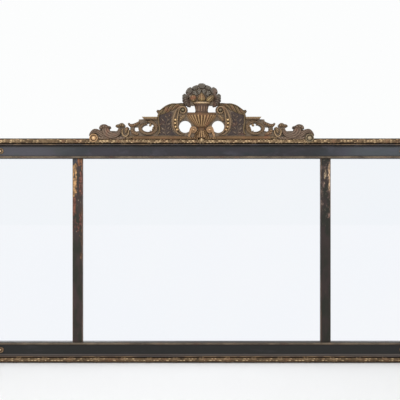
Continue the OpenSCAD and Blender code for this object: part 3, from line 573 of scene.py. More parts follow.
# ---- Mirror plates ----
# Three plates of silvered glass, very slightly blue, with a soft bloom of dust. They
# lie in the rebates behind the bead and the mullions.
def silvered_glass():
    """Metal-like reflection whose roughness rises a little in broad clouds, with a trace of old foxing."""
    coat = Coat("mirror_glass")
    cloud = coat.noise(2.5, 4, 0.5)
    fox = coat.times(coat.over(coat.noise(45, 5, 0.7), 0.79), 0.25)
    tint = coat.blend(cloud, (0.885, 0.915, 0.965), (0.925, 0.935, 0.955))
    return coat.laid({"Base Color": coat.blend(fox, tint, (0.55, 0.55, 0.55)), "Metallic": 1.0,
                      "Roughness": coat.spread(cloud, 0.008, 0.03)})


def dress(node, material):
    """The CAD node keeps its shape and takes this material."""
    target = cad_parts[node]
    target.data.materials.clear()
    target.data.materials.append(material)


mirror_material = silvered_glass()
for plate in ("left_mirror", "centre_mirror", "right_mirror"):
    dress(plate, mirror_material)


# ---- Backboards and glazing blocks ----
# Thin pine boards, screwed on, close the back; small pine blocks, glued in behind the
# plates, hold them forward in their rebate.
def pine_board():
    """Bare old pine, dusty, with open grain."""
    coat = Coat("pine_board")
    return coat.laid({"Base Color": bare_pine(coat), "Roughness": 0.78},
                     coat.noise(120, 5, 0.6, (0.06, 1, 1)), 0.3, 0.0006)


pine_material = pine_board()
for node in ("left_backboard", "centre_backboard", "right_backboard", "glazing_blocks"):
    dress(node, pine_material)


# ---- Corner ornaments ----
# A spray of pressed composition leaf, gilt, is glued on the frieze at each corner: two arms
# that start at the mitre and end in a curl, with a small boss in each curl.
def smooth_line(stations, step):
    """Catmull-Rom curve through the stations, spaced evenly by length; on the span from b to c it is
    0.5 (2b + (c-a) t + (2a-5b+4c-d) t^2 + (3b-a-3c+d) t^3). Stations are [x, z, width, relief] in
    millimetres."""
    p = np.asarray(stations, float) * mm
    p = np.vstack([p[:1], p, p[-1:]])
    t = np.linspace(0, 1, 12, endpoint=False)[:, None]
    a, b, c, d = (p[k:len(p) - 3 + k, None] for k in range(4))
    square, cube = 2 * a - 5 * b + 4 * c - d, 3 * b - a - 3 * c + d
    line = 0.5 * (2 * b + (c - a) * t + square * t ** 2 + cube * t ** 3)
    line = np.vstack([line.reshape(-1, 4), p[-1:]])
    gone = np.concatenate([[0], np.cumsum(np.linalg.norm(np.diff(line[:, :2], axis=0), axis=1))])
    run = np.linspace(0, gone[-1], int(gone[-1] / step) + 2)
    return run, np.stack([np.interp(run, gone, line[:, k]) for k in range(4)], axis=-1)


def strap(stations, form, face, origin=(0, 0), step=1.2 * mm, across=27, ends=(0, 0)):
    """A carved strap on the plane y = face: point = line + sideways * width / 2 * side - y * relief * rise,
    where form(run, length, angle) gives side, rise and ridge for angle 0 to pi from edge to edge; its back
    is flat. Over the lengths ends, in millimetres, width and relief close in a quarter circle at the first
    and last end."""
    run, line = smooth_line(stations, step)
    for reach, gone in zip(ends, (run, run[-1] - run)):
        if reach:
            gone = np.clip(gone / (reach * mm), 0, 1)
            line[:, 2:] *= np.sqrt(np.clip(1 - (1 - gone) ** 2, 0.001, 1))[:, None]
    ahead = np.gradient(line[:, :2], axis=0)
    ahead /= np.linalg.norm(ahead, axis=1, keepdims=True)
    side, rise, ridge = form(run[:, None], run[-1], np.linspace(0, math.pi, across)[None, :])
    off = line[:, 2:3] / 2 * side
    points = np.stack([origin[0] + line[:, 0:1] - ahead[:, 1:2] * off,
                       face - line[:, 3:4] * rise,
                       origin[1] + line[:, 1:2] + ahead[:, 0:1] * off], axis=-1)
    return points, {"ridge": ridge + 0 * side}


def leafy(pitch, slant=0.9, notch=0.16, depth=0.42):
    """A leaf carved in lobes: phase = run / pitch - slant |v|; each lobe swells between two veins, the
    edge is notched where a vein leaves it, and a rounded rib runs down the middle."""
    def form(run, length, angle):
        v = np.cos(angle)
        phase = run / (pitch * mm) - slant * np.abs(v)
        lobe = 0.5 - 0.5 * np.cos(2 * math.pi * phase)
        edge = 0.5 + 0.5 * np.cos(2 * math.pi * (run / (pitch * mm) - slant))
        rib = np.exp(-(v / 0.16) ** 2)
        carve = np.maximum(lobe ** 0.6, rib)
        rise = np.sin(angle) ** 0.7 * (1 - depth + depth * carve)
        return v * (1 - notch * edge), rise, np.clip(carve * np.sin(angle) ** 0.5, 0, 1)
    return form


def rolled(rim=0.3, hollow=0.5):
    """A moulded strap: a roll along each edge, rim wide, and between them a floor at the share hollow
    of the height, a little lower in its middle."""
    def form(run, length, angle):
        v = np.abs(np.cos(angle)) + 0 * run
        turn = (v - 1 + rim / 2) / (rim / 2)
        roll = np.sqrt(np.clip(1 - turn ** 2, 0, 1))
        dish = hollow - 0.12 * (1 - (v / (1 - rim)) ** 2)
        rise = np.where(turn > 0, roll, np.where(turn > -1, hollow + (1 - hollow) * roll, dish))
        crease = np.exp(-((v - 1 + rim) / 0.07) ** 2)
        ridge = np.where(turn > -1, 0.3 + 0.6 * roll, 0.36) - 0.4 * crease
        return np.cos(angle) + 0 * run, rise, np.clip(ridge, 0, 1)
    return form


def channelled(run, length, angle):
    """A broad rounded band on the right of the heading, a channel, and a narrow roll on the left; over
    the last third, which winds up into the volute, the strap is plain half-round."""
    v, round_off = np.cos(angle) + 0 * run, np.sin(angle) + 0 * run
    band = np.sqrt(np.clip(1 - ((v + 0.55) / 0.45) ** 2, 0, 1))
    roll = np.sqrt(np.clip(1 - ((v - 0.68) / 0.32) ** 2, 0, 1))
    floor = 0.4 * np.clip(np.sin(angle) * 5, 0, 1)
    plain = np.clip((run / length - 0.6) / 0.1, 0, 1)
    rise = np.maximum(np.maximum(0.85 * band, roll), floor)
    ridge = np.maximum(0.62 * band, 0.8 * roll) * (1 - plain) + 0.75 * plain * round_off
    return v, rise + plain * (round_off - rise), ridge


def reeded(count, depth=0.26):
    """A flat arch cut with rounded reeds along it, count across the strap."""
    def form(run, length, angle):
        v = np.cos(angle) + 0 * run
        reed = np.abs(np.sin(math.pi * count * (v + 1) / 2))
        rise = np.sin(angle) ** 0.45 * (1 - depth * (1 - reed ** 0.5))
        return v, rise, np.clip(reed * 0.95 - 0.15, 0, 1)
    return form


def half_round(run, length, angle):
    """A plain half-round strap: side cos a, height sin a."""
    return np.cos(angle) + 0 * run, np.sin(angle) + 0 * run, np.sin(angle) ** 1.5 + 0 * run


def boss(centre, face, radii, heights, ridges, columns=28):
    """A turned boss on the plane y = face: rings of the given radii at the given heights round centre."""
    turn = np.linspace(0, 2 * math.pi, columns, endpoint=False)[None, :]
    r, h = np.array(radii)[:, None] * mm, np.array(heights)[:, None] * mm
    points = np.stack([centre[0] * mm + r * np.cos(turn), face - h + 0 * turn,
                       centre[1] * mm + r * np.sin(turn)], axis=-1)
    return points, {"ridge": np.array(ridges)[:, None] + 0 * turn}


def flipped(grid, x_about=None, z_about=None):
    """The same grid mirrored in x about x_about, or in z about z_about."""
    points = grid[0].copy()
    if x_about is not None:
        points[..., 0] = 2 * x_about - points[..., 0]
    if z_about is not None:
        points[..., 2] = 2 * z_about - points[..., 2]
    return points, grid[1]


bright_gilt = gilding("bright_gilt", (0.56, 0.41, 0.225), (0.27, 0.175, 0.10), (0.05, 0.032, 0.02),
                      shine=0.6, red=0.5)
frieze_middle = 38.5
arm_end = 101
curl_r = 10.5
arm = [[frieze_middle - 3, frieze_middle - 3, 5, 3], [frieze_middle + 8, frieze_middle + 3, 11, 5],
       [frieze_middle + 24, frieze_middle + 5, 12, 6], [arm_end - 14, frieze_middle - 2, 7, 5]]
for k in range(7):
    curl_angle = math.radians(240 + 50 * k)
    reach = (curl_r - 2.5) * (1 - 0.06 * k)
    arm.append([arm_end + reach * math.cos(curl_angle), frieze_middle + reach * math.sin(curl_angle),
                5 - 0.4 * k, 5])
curl_boss = {"radii": (3, 3, 2.4, 1.2, 0.2), "heights": (0, 3.5, 5.3, 6, 6),
             "ridges": (0.2, 0.6, 0.9, 1, 1)}
left_end = -frame_w / 2 / mm


def spray():
    """The bottom left spray: the arm along the bottom rail, and the same arm turned up the stile."""
    upright_arm = [[z, x, width, relief] for x, z, width, relief in arm]
    grids = []
    for stations, x, z in ((arm, arm_end, frieze_middle), (upright_arm, frieze_middle, arm_end)):
        grids.append(strap(stations, leafy(8), -frieze_d, (-frame_w / 2, 0), across=21))
        grids.append(boss((x + left_end, z), -frieze_d, **curl_boss, columns=20))
    return grids


for vertical in ("bottom", "top"):
    for hand in ("left", "right"):
        grids = spray()
        if hand == "right":
            grids = [flipped(grid, x_about=0) for grid in grids]
        if vertical == "top":
            grids = [flipped(grid, z_about=frame_h / 2) for grid in grids]
        node = vertical + "_" + hand + "_corner"
        corner = solid(node + "_spray", grids, bright_gilt)
        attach(corner, "frame")
        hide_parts(node)


# ---- Crest board ----
# A pine board, fretted through and gilt over bole on its face and in its piercings, carries
# all of the carving. Its back and the walls near it are bare wood.
crest_d = 44 * mm
bare_from_y, bare_to_y = -28.5 * mm, -26.5 * mm        # where the gilding of the piercings ends


def board_gilding():
    """Dirty dark gilding with a matted ground in front and painted shade on what faces up, bare darkened
    pine at the back.
    """
    coat = Coat("crest_board_gilt")
    matting = coat.noise(620, 3, 0.5)
    clouds = coat.step(coat.noise(45, 6, 0.65), 0.35, 0.65)
    colour = coat.blend(clouds, (0.060, 0.041, 0.026), (0.165, 0.108, 0.062))
    colour = coat.blend(coat.step(matting, 0.55, 0.7, 0.6), colour, (0.23, 0.17, 0.10))
    # painted shade on what faces up
    colour = coat.blend(coat.facing_up(0.75), colour, (0.045, 0.037, 0.031))
    ragged = coat.times(coat.noise(30, 5, 0.6, (1, 1, 0.4)), 6 * mm)
    back = coat.step(coat.plus(coat.axis(1), ragged), bare_from_y, bare_to_y)
    colour = coat.blend(back, colour, bare_pine(coat))
    return coat.laid({"Base Color": colour, "Roughness": 0.62}, matting, 0.5, 0.0006)


dress("crest_board", board_gilding())


def carving(name, node, grids, material):
    """A carved piece of the crest in place of its CAD node."""
    made = solid(name, grids, material, 50)
    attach(made, "frame")
    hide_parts(node)


def on_both_sides(name, node, grids, material):
    """The grids as the right-hand piece and, turned over, as the left-hand one."""
    carving("right_" + name, "right_" + node, grids, material)
    carving("left_" + name, "left_" + node, [flipped(grid, x_about=0) for grid in grids], material)


def carved(stations, form, **more):
    """A strap on the crest board's face, its stations counted from the middle of the rail's top."""
    return strap(stations, form, -crest_d, (0, frame_h), **more)


def beside(stations, x):
    """The stations moved along by x millimetres."""
    return [[station[0] + x, *station[1:]] for station in stations]


def dome(x, z, radius, top, seat=0.55):
    """A domed boss or pearl on the crest's face, its edge rising straight to seat of its height."""
    shares = np.array([1, 1, 0.94, 0.8, 0.58, 0.3, 0.04])
    heights = seat + (1 - seat) * np.sqrt(np.clip(1 - shares ** 2, 0, 1))
    heights[0] = 0
    ridges = np.clip(heights ** 2, 0, 1)
    return boss((x, z + frame_h / mm), -crest_d, shares * radius, heights * top, ridges, 22)


def moulded(outline, tallest, x_range, slope=0.0, step=4 * mm):
    """A plain moulding along X on the crest's face: outline points are (z, relief) in millimetres; the
    far end leans by slope over the outline's height."""
    z, relief = np.asarray(outline, float).T
    run = np.linspace(0, 1, int((x_range[1] - x_range[0]) * mm / step) + 2)[:, None]
    lean = slope * (z - z.max()) / (z.max() - z.min())
    x = x_range[0] + run * (x_range[1] + lean - x_range[0])
    points = np.stack([x * mm, -crest_d - relief * mm + 0 * run, frame_h + z * mm + 0 * run], axis=-1)
    return points, {"ridge": np.clip(relief / tallest, 0, 1) ** 2}


# ---- Crest strip ----
# A plain gilt strip with eased edges, glued along the foot of the crest on each side of the
# urn; it laps down over the rail.
strip_half, strip_gap = 204, 44
strip_outline = [(-3.5, 0), (-3.5, 4.4), (-3.1, 5.2), (-2.2, 5.6), (0.2, 5.9), (3.0, 6.0), (4.6, 5.5),
                 (5.3, 4.5), (5.5, 3.0), (5.5, 0)]
strip_gilt = gilding("strip_gilt", (0.185, 0.108, 0.048), (0.108, 0.059, 0.027), (0.05, 0.03, 0.018),
                     shine=0.3, red=0.4, gold_from=0.6, broad=0.9)
strip_ends = ((-strip_half, -strip_gap), (strip_gap, strip_half))
strips = [moulded(strip_outline, 6, ends) for ends in strip_ends]
carving("strip", "crest_strip", strips, strip_gilt)


# ---- Urn ----
# A gadrooned half-round urn on a leafy foot, carved in wood and gilt. It is glued up from
# five parts: rim, neck, bowl, foot and the drop that hangs over the rail.
def gadroons(count, depth, first, last, keen=1, plain=0.35):
    """Upright lobes between two shares of the run: the radius is 1 - depth (1 - lobe). The gilding
    follows lobe ** keen and lies at the value plain outside the lobes."""
    def form(run, length, angle):
        part = angle / math.pi * count
        off = np.abs(part - np.floor(part) - 0.5) * 2
        share = run / length
        rounded_top = np.clip((last - share) / 0.06 + 1 - off ** 2, 0, 1)
        inside = np.clip((share - first) / 0.06, 0, 1) * rounded_top
        lobe = np.sqrt(np.clip(1 - off ** 2, 0, 1))
        swell = 1 - depth * (1 - lobe * inside - (1 - inside) * 0.55)
        ridge = np.clip(lobe ** keen * inside + (1 - inside) * plain, 0, 1)
        return np.cos(angle) * swell, np.sin(angle) * swell, ridge
    return form


bowl_path = [[0, 29, 22, 8], [0, 33, 32, 12], [0, 42, 50, 17], [0, 54, 72, 20], [0, 64, 86, 21],
             [0, 70, 92, 21], [0, 73.5, 90, 19]]
neck_path = [[0, 74, 47, 15], [0, 76.5, 41, 14.5], [0, 80, 37.5, 14], [0, 86, 36.5, 14],
             [0, 92, 38.5, 14.5], [0, 96, 43, 15.5], [0, 99.5, 49, 16]]
rim_path = [[0, 100, 44, 17], [0, 102, 52, 20], [0, 104, 52, 20], [0, 106, 44, 17]]
foot_path = [[0, 0.5, 38, 13], [0, 6, 34, 12], [0, 13, 26, 10], [0, 20, 22, 9], [0, 23, 24, 10],
             [0, 28.5, 24, 10]]
pendant_path = [[0, -13, 3, 3], [0, -9, 11, 8], [0, -4, 13, 9], [0, 0, 9, 8]]
foot_leaf = [[8, 25, 4, 8], [11, 18, 8, 11], [16, 10, 9, 11], [21, 2, 5, 8]]
bowl_gilt = gilding("bowl_gilt", (0.54, 0.345, 0.165), (0.118, 0.065, 0.032), (0.026, 0.016, 0.009),
                    shine=0.6, red=0.3, gold_from=0.5, broad=0.45)
neck_gilt = gilding("neck_gilt", (0.37, 0.24, 0.155), (0.078, 0.046, 0.031), (0.025, 0.015, 0.012),
                    shine=0.3, red=0.4, gold_from=0.55, up_face_shading=0.1)
rim_gilt = gilding("rim_gilt", (0.62, 0.45, 0.27), (0.30, 0.205, 0.12), (0.05, 0.034, 0.022),
                   shine=0.4, red=0.3)
bowl = carved(bowl_path, gadroons(13, 0.18, 0.05, 0.84, keen=3, plain=0.2), across=157, step=0.9 * mm)
carving("gadrooned_bowl", "urn_bowl", [bowl], bowl_gilt)
neck = carved(neck_path, gadroons(7, 0.12, 0.12, 0.75, keen=2), across=91)
carving("fluted_neck", "urn_neck", [neck], neck_gilt)
rim = carved(rim_path, half_round, step=0.5 * mm, across=61)
carving("moulded_rim", "urn_rim", [rim], rim_gilt)
low_leaf = [[46, 0, 5, 4], [37, -0.5, 9, 6], [27, 0, 6, 5], [20, -0.5, 9, 7], [9, 0, 7, 6]]
foot_sides = [carved(foot_leaf, leafy(5), step=0.7 * mm, ends=(2, 2)),
              carved(low_leaf, leafy(7), step=0.7 * mm, ends=(2, 2))]
foot_sides += [flipped(grid, x_about=0) for grid in foot_sides]
foot = carved(foot_path, gadroons(7, 0.2, 0.02, 0.72, keen=2), across=85, step=0.8 * mm)
carving("leafy_foot", "urn_foot", [foot] + foot_sides, bowl_gilt)
drop = carved(pendant_path, gadroons(3, 0.12, 0.1, 0.95), step=0.6 * mm, across=37, ends=(2, 1.5))
carving("drop", "urn_pendant", [drop], bright_gilt)


# ---- Shell ----
# Nine cupped lobes and six leaves before them spread behind three fruit-like petals, with a
# drooping leaf on each side, all carved and glued on the board. The shell is dark with
# dirt, with a painted highlight toward each lobe's tip; the petals keep their gold and red bole.
fan_gilt = gilding("fan_gilt", (0.19, 0.168, 0.135), (0.122, 0.104, 0.084), (0.055, 0.045, 0.037),
                   shine=0.15, red=0.25)
fan_root = (0, 105)
fan_inner = 42
fan_lobes = [(-70, 61, 14.5), (-60, 51, 14), (-46, 59, 21), (-24, 54, 20), (1.5, 57, 22), (25, 54, 20),
             (47, 60, 21), (60, 51, 14), (70, 61, 14.5)]
inner_lobes = [(-62, 44, 15), (-36, 43, 15), (-12, 42, 14), (12, 42, 14), (36, 43, 15), (62, 44, 15)]
inner_start = 24
drop_leaf_path = [[42, 124, 12, 9], [47, 115, 20, 12], [45, 105, 21, 12], [38.5, 96.5, 13, 9],
                  [32, 91.5, 4, 4]]


def lobe_path(lean, reach, width, start, tallest):
    """Stations of a lobe that runs out from the fan's root at lean degrees from upright."""
    sine, cosine = math.sin(math.radians(lean)), math.cos(math.radians(lean))
    stations = []
    for out, wide, high in ((0, 0.62, 0.6), (0.45, 0.9, 0.85), (0.8, 1, 1), (1, 0.45, 0.6)):
        r = start + (reach - start) * out
        stations.append([fan_root[0] + r * sine, fan_root[1] + r * cosine, width * wide, tallest * high])
    return stations


def cupped(run, length, angle):
    """A rounded lobe with a shallow valley down its middle and a fine crease on each side of it; its
    gilding grows toward the tip, a painted highlight.
    """
    v = np.abs(np.cos(angle)) + 0 * run
    valley = np.exp(-(v / 0.28) ** 2)
    crease = np.exp(-((v - 0.62) / 0.08) ** 2)
    rise = np.sin(angle) ** 0.6 * (1 - 0.3 * valley - 0.1 * crease)
    # painted highlight: the gilding grows from the lobe's root to its tip
    ridge = (0.25 + 0.6 * run / length) * np.sin(angle) ** 0.6 - 0.25 * valley - 0.25 * crease
    return np.cos(angle) + 0 * run, rise, np.clip(ridge, 0, 1)


lobes = [carved(lobe_path(*lobe, fan_inner, 13), cupped, step=0.7 * mm, ends=(0, 7))
         for lobe in fan_lobes]
lobes += [carved(lobe_path(*lobe, inner_start, 9), leafy(9, depth=0.3), step=0.7 * mm, ends=(2, 6))
          for lobe in inner_lobes]
carving("fan", "shell_fan", lobes, fan_gilt)
drops = [carved(drop_leaf_path, leafy(6, depth=0.3), step=0.7 * mm, ends=(4, 3))]
drops.append(flipped(drops[0], x_about=0))
side_leaf_gilt = gilding("side_leaf_gilt", (0.125, 0.092, 0.068), (0.068, 0.049, 0.037),
                         (0.035, 0.025, 0.022), shine=0.15, red=0.35)
carving("side_leaves", "shell_fan", drops, side_leaf_gilt)


def fruit(run, length, angle):
    """A swelling bud with two shallow creases down it."""
    v = np.cos(angle)
    crease = np.exp(-((np.abs(v) - 0.36) / 0.1) ** 2)
    rise = np.sin(angle) ** 0.8 * (1 - 0.16 * crease) + 0 * run
    return v + 0 * run, rise, np.clip(np.sin(angle) - 0.45 * crease, 0, 1) * (1 - 0.5 * run / length)


round_bud = ((0, 9, 8), (0.45, 20, 15), (0.8, 18, 16), (1, 7, 10))
tulip = ((0, 15, 9), (0.3, 25, 15), (0.65, 17, 17), (1, 4, 12))
leaning_leaf = ((0, 9, 8), (0.35, 18, 14), (0.7, 14, 15), (1, 3, 10))
# foot x and z, lean in degrees, length, form, how much red bole shows
petals = [(-23, 106.5, -12, 22, round_bud, 0.75), (0, 107, 0, 28, tulip, 0.3),
          (14.5, 107.5, 53, 30, leaning_leaf, 0.0)]
petal_gilt = gilding("petal_gilt", (0.47, 0.345, 0.165), (0.145, 0.098, 0.052), (0.045, 0.03, 0.02),
                     red=0.15, up_face_shading=0.1)
petal_grids = []
for x, z, lean, length, form, core in petals:
    sine, cosine = math.sin(math.radians(lean)), math.cos(math.radians(lean))
    stations = [[x + length * out * sine, z + length * out * cosine, wide, high]
                for out, wide, high in form]
    points, marks = carved(stations, fruit, step=0.6 * mm, ends=(3, 5))
    along, round_it = (np.sin(np.linspace(0, math.pi, count)) for count in points.shape[:2])
    marks["bole"] = core * np.clip(1.3 * along[:, None] ** 2 * round_it[None, :] - 0.2, 0, 1)
    petal_grids.append((points, marks))
carving("petals", "shell_petals", petal_grids, petal_gilt)


# ---- C-scrolls and pearls ----
# A big hollowed C, carved on each side of the urn, has four gilt pearls in its channel and a
# small volute at its head; a smaller scroll with an eye stands at the urn's foot.
c_scroll_path = [[50, 9, 4, 4], [61, 11.5, 9, 7], [70, 18.5, 14, 9], [77, 31, 18, 11], [79, 48, 19, 12],
                 [76, 66, 17, 11], [70.5, 82, 12, 9], [62, 91.5, 8.5, 8], [51.5, 91, 7, 8],
                 [46.5, 82.5, 6, 8], [51, 74, 6, 8], [60.5, 74.5, 5, 7], [64, 81.5, 4, 6]]
foot_scroll_path = [[38, 1.5, 4.5, 5], [36.5, 8, 6.5, 6], [34, 15, 7.5, 7], [32.3, 22.5, 8.2, 8],
                    [29, 29.5, 8.5, 8], [23.5, 31, 8, 8], [18.2, 27.5, 7.5, 8], [18, 20.8, 7, 8],
                    [23, 16.8, 6, 8], [28, 19.5, 5, 7], [28, 24, 4, 6]]
scroll_gilt = gilding("scroll_gilt", (0.34, 0.238, 0.132), (0.20, 0.132, 0.078), (0.045, 0.032, 0.022),
                      red=0.25)
pearl_gilt = gilding("pearl_gilt", (0.70, 0.48, 0.235), (0.40, 0.25, 0.125), (0.09, 0.056, 0.033),
                     shine=0.4, red=0.35)
foot_gilt = gilding("foot_gilt", (0.66, 0.42, 0.225), (0.33, 0.205, 0.112), (0.04, 0.025, 0.016),
                    red=0.12)
inner_leaf_path = [[48, 69, 6, 5], [54, 64.5, 12, 7], [60.5, 58, 12, 7], [64.5, 49, 5, 5]]
c_scroll = carved(c_scroll_path, channelled, across=41, ends=(2, 2))
inner_leaf = carved(inner_leaf_path, leafy(5.5), step=0.8 * mm, ends=(3, 3))
on_both_sides("c_scroll_carving", "c_scroll", [c_scroll, inner_leaf], scroll_gilt)
eye_gilt = gilding("eye_gilt", (0.18, 0.148, 0.082), (0.098, 0.078, 0.048), (0.05, 0.04, 0.025),
                   shine=0.3, red=0.1)
on_both_sides("c_scroll_eye", "c_scroll", [dome(55.3, 82.6, 5, 10)], eye_gilt)
foot_scroll = [carved(foot_scroll_path, rolled(0.45, 0.7), ends=(0, 1.5)), dome(24, 24, 3.4, 8.5)]
on_both_sides("foot_scroll_carving", "foot_scroll", foot_scroll, foot_gilt)
pearls = [(72.5, 24), (76.5, 32.5), (78, 43), (77.5, 53)]
pearl_grids = [dome(x, z, 3.2, 14, 0.76) for x, z in pearls]
pearl_grids += [flipped(grid, x_about=0) for grid in pearl_grids]
carving("pearls", "scroll_pearls", pearl_grids, pearl_gilt)


# ---- Arch leaves ----
# A carved leaf with slanting veins arches over a dark sunk panel, which carries a sprig in
# low relief; the leaf's stem turns down along the panel's outer edge.
def plume(pitch):
    """A narrow rolled upper edge and, under it, overlapping leaflets that lean back. Along the phase
    run / pitch + 0.8 v each rises as u ** 0.7, u its own share, drops to the next, and has a vein at
    u = 0.55. The lower edge is scalloped to match."""
    def form(run, length, angle):
        v = np.cos(angle)
        phase = run / (pitch * mm) + 0.8 * v
        u = phase - np.floor(phase)
        vein = np.exp(-((u - 0.55) / 0.07) ** 2)
        leaflet = (0.2 + 0.8 * u ** 0.7) * (1 - 0.3 * vein) * np.clip((1 - u) / 0.12, 0, 1) ** 0.5
        arch = np.sqrt(np.clip(1 - (v + 0.1) ** 2, 0, 1)) * np.clip(np.sin(angle) * 6, 0, 1)
        low = arch * (0.35 + 0.6 * leaflet)
        roll = np.sqrt(np.clip(1 - ((v - 0.82) / 0.18) ** 2, 0, 1))
        foot = run / (pitch * mm) - 0.8
        scallop = np.sqrt(np.clip(1 - (2 * (foot - np.floor(foot)) - 1) ** 2, 0, 1))
        side = np.where(v < 0, v * (0.78 + 0.22 * scallop), v)
        ridge = np.where(roll > low, 0.25 * roll, 1.5 * leaflet - 0.65 + 0 * low)
        return side, np.maximum(roll, low), np.clip(ridge, 0, 1)
    return form


oval_x, oval_z = strip_half - 45.5, 31
arch_in, arch_tip = 86, oval_x - 26
arch_path = [[48, 99.5, 5, 5], [60, 99, 8, 7], [72, 96, 12, 9], [arch_in, 92.5, 19, 10]]
arch_tail = ((0.32, 86.5, 20, 10), (0.6, 79, 17, 9), (0.82, 76.5, 12, 7), (1, 81.5, 4, 4))
for share, z, width, relief in arch_tail:
    arch_path.append([arch_in + share * (arch_tip - arch_in), z, width, relief])
stem_path = [[arch_tip - 10, 76, 4, 6], [arch_tip - 6, 70, 6, 8], [arch_tip - 4, 62, 6, 8],
             [arch_tip - 5, 53, 5, 7], [arch_tip - 6, 40, 5, 7], [arch_tip - 8, 27, 5.5, 7],
             [arch_tip - 6, 15, 5, 6], [arch_tip - 1, 9.5, 4, 5]]
leaf_gilt = gilding("arch_gilt", (0.34, 0.245, 0.125), (0.155, 0.107, 0.057), (0.032, 0.024, 0.016),
                    shine=0.35, red=0.4, up_face_shading=0.2)

# leaves and buds of the sprig: middle x and z, turn in degrees, length, width
sprig = [(97, 17, 148, 16, 6), (98, 30, 136, 13, 6), (95, 42, 152, 18, 6.5), (97, 54, 140, 14, 6),
         (95, 67, 120, 13, 5.5), (113, 16, 30, 14, 6), (116, 28, 42, 18, 7), (114, 41, 34, 15, 6),
         (116, 54, 48, 16, 6.5), (106, 64, 66, 11, 5.5), (92.5, 27, 105, 8, 5), (122.5, 17, 72, 10, 5),
         (123, 40, 84, 9, 5.5)]
sprig_x, sprig_bend, stem_top = 105, 3.5, 66
panel_low, panel_top, panel_ground = 8.2, 76, 1.4
panel_corner = 92 + 0.95 * (oval_x - 29.5 - 92)
panel_inner = np.array([[76, 8], [86, 20], [90.5, 34], [92, 48], [89, 64], [86, 76]], float)
panel_outer = np.array([[arch_tip - 3.5, 8], [arch_tip - 3.5, 54], [panel_corner, 67], [95, 76]], float)


def sprig_leaf(x, z, leaf_x, leaf_z, turn, length, width):
    """Height of one leaf: 3.6 (1 - s^2 - t^2)^0.8 with a vein at t = 0, s and t its shares of length
    and width."""
    cosine, sine = math.cos(math.radians(turn)), math.sin(math.radians(turn))
    s = ((x - leaf_x) * cosine + (z - leaf_z) * sine) / (length / 2)
    t = (-(x - leaf_x) * sine + (z - leaf_z) * cosine) / (width / 2)
    leaf = 3.6 * np.clip(1 - s ** 2 - t ** 2 * np.clip(1.2 + s, 0.4, 2), 0, 1) ** 0.8
    leaf *= 1 - 0.35 * np.exp(-(t / 0.15) ** 2)
    return leaf * (0.88 + 0.12 * np.cos(8 * (s - 1.2 * np.abs(t))))


def sprig_panel():
    """The sunk panel: rows of constant z ruled between its inner and outer edges; height = ground + the
    highest leaf or stem. The wavy stem runs up the middle as far as stem_top."""
    z = np.linspace(panel_low, panel_top, 150)[:, None]
    left = np.interp(z, panel_inner[:, 1], panel_inner[:, 0])
    right = np.interp(z, panel_outer[:, 1], panel_outer[:, 0])
    x = left + np.linspace(0, 1, 120)[None, :] * (right - left)
    height = np.full(x.shape, panel_ground)
    for leaf in sprig:
        height = np.maximum(height, panel_ground + sprig_leaf(x, z, *leaf))
    off_stem = (x - sprig_x - sprig_bend * np.sin(z / 12)) / 1.3
    stem_end = np.clip((stem_top - z) / 5, 0, 1)
    stem = 2.4 * stem_end * np.clip(1 - off_stem ** 2, 0, 1) ** 0.7
    height = np.maximum(height, panel_ground + stem)
    height[:, 0] = height[:, -1] = 0
    points = np.stack([x * mm, -crest_d - height * mm, frame_h + (z + 0 * x) * mm], axis=-1)
    return points, {"ridge": np.clip((height - panel_ground) / 3.4, 0, 1)}


panel_gilt = gilding("panel_gilt", (0.255, 0.192, 0.14), (0.088, 0.061, 0.047), (0.035, 0.025, 0.024),
                     shine=0.25, red=0.2, broad=0.4)
stem, stem_marks = carved(stem_path, half_round, ends=(2, 2))
stem_marks["ridge"] = 0.5 * stem_marks["ridge"]
arch = carved(arch_path, plume(17), step=0.7 * mm, across=49, ends=(3, 5))
on_both_sides("arch_leaf_carving", "arch_leaf", [arch, (stem, stem_marks)], leaf_gilt)
on_both_sides("sprig_panel", "arch_leaf", [sprig_panel()], panel_gilt)


# ---- Oval scrolls ----
# A hollowed ring that turns inward and ends in a curl under its top, with small curls in the
# opening and a moulded ledge on top, carved and gilt.
oval_path = []
for k in range(26):
    turn = math.radians(78 + 14.4 * k)
    inward = max(0, k - 19) / 6
    x = oval_x + (24 - 9 * inward) * math.cos(turn)
    z = oval_z + (18 - 7 * inward) * math.sin(turn)
    oval_path.append([x, z, 5 if k < 2 else 9 - 4.5 * inward, 9 - 3 * inward])
hanging_curl = beside([[-6, 44, 4, 6], [-9, 39, 4.5, 7], [-6, 35.5, 4, 6], [-2.5, 38, 3, 5]], oval_x)
low_curl = beside([[-20, 37, 4, 5], [-16.5, 31, 6.5, 7], [-14.5, 24, 7, 7], [-11, 18.5, 5, 6],
                   [-6.5, 19.5, 3.5, 5], [-6.5, 23, 3, 4]], oval_x)
ledge_outline = [(54, 0), (54, 9), (54.8, 11), (56.5, 12.6), (58.2, 13), (58.4, 15.4), (59, 16),
                 (61, 16), (61.5, 15.2), (61.5, 0)]
oval = [carved(oval_path, rolled(0.36, 0.5), ends=(0, 2)),
        carved(hanging_curl, half_round, ends=(2, 2)),
        dome(oval_x - 5.6, 38.6, 2.2, 7),
        carved(low_curl, leafy(6, depth=0.3), step=0.7 * mm, ends=(2, 2)),
        moulded(ledge_outline, 16, (oval_x - 27.5, oval_x + 17.5), slope=6)]
on_both_sides("oval_carving", "oval_scroll", oval, scroll_gilt)


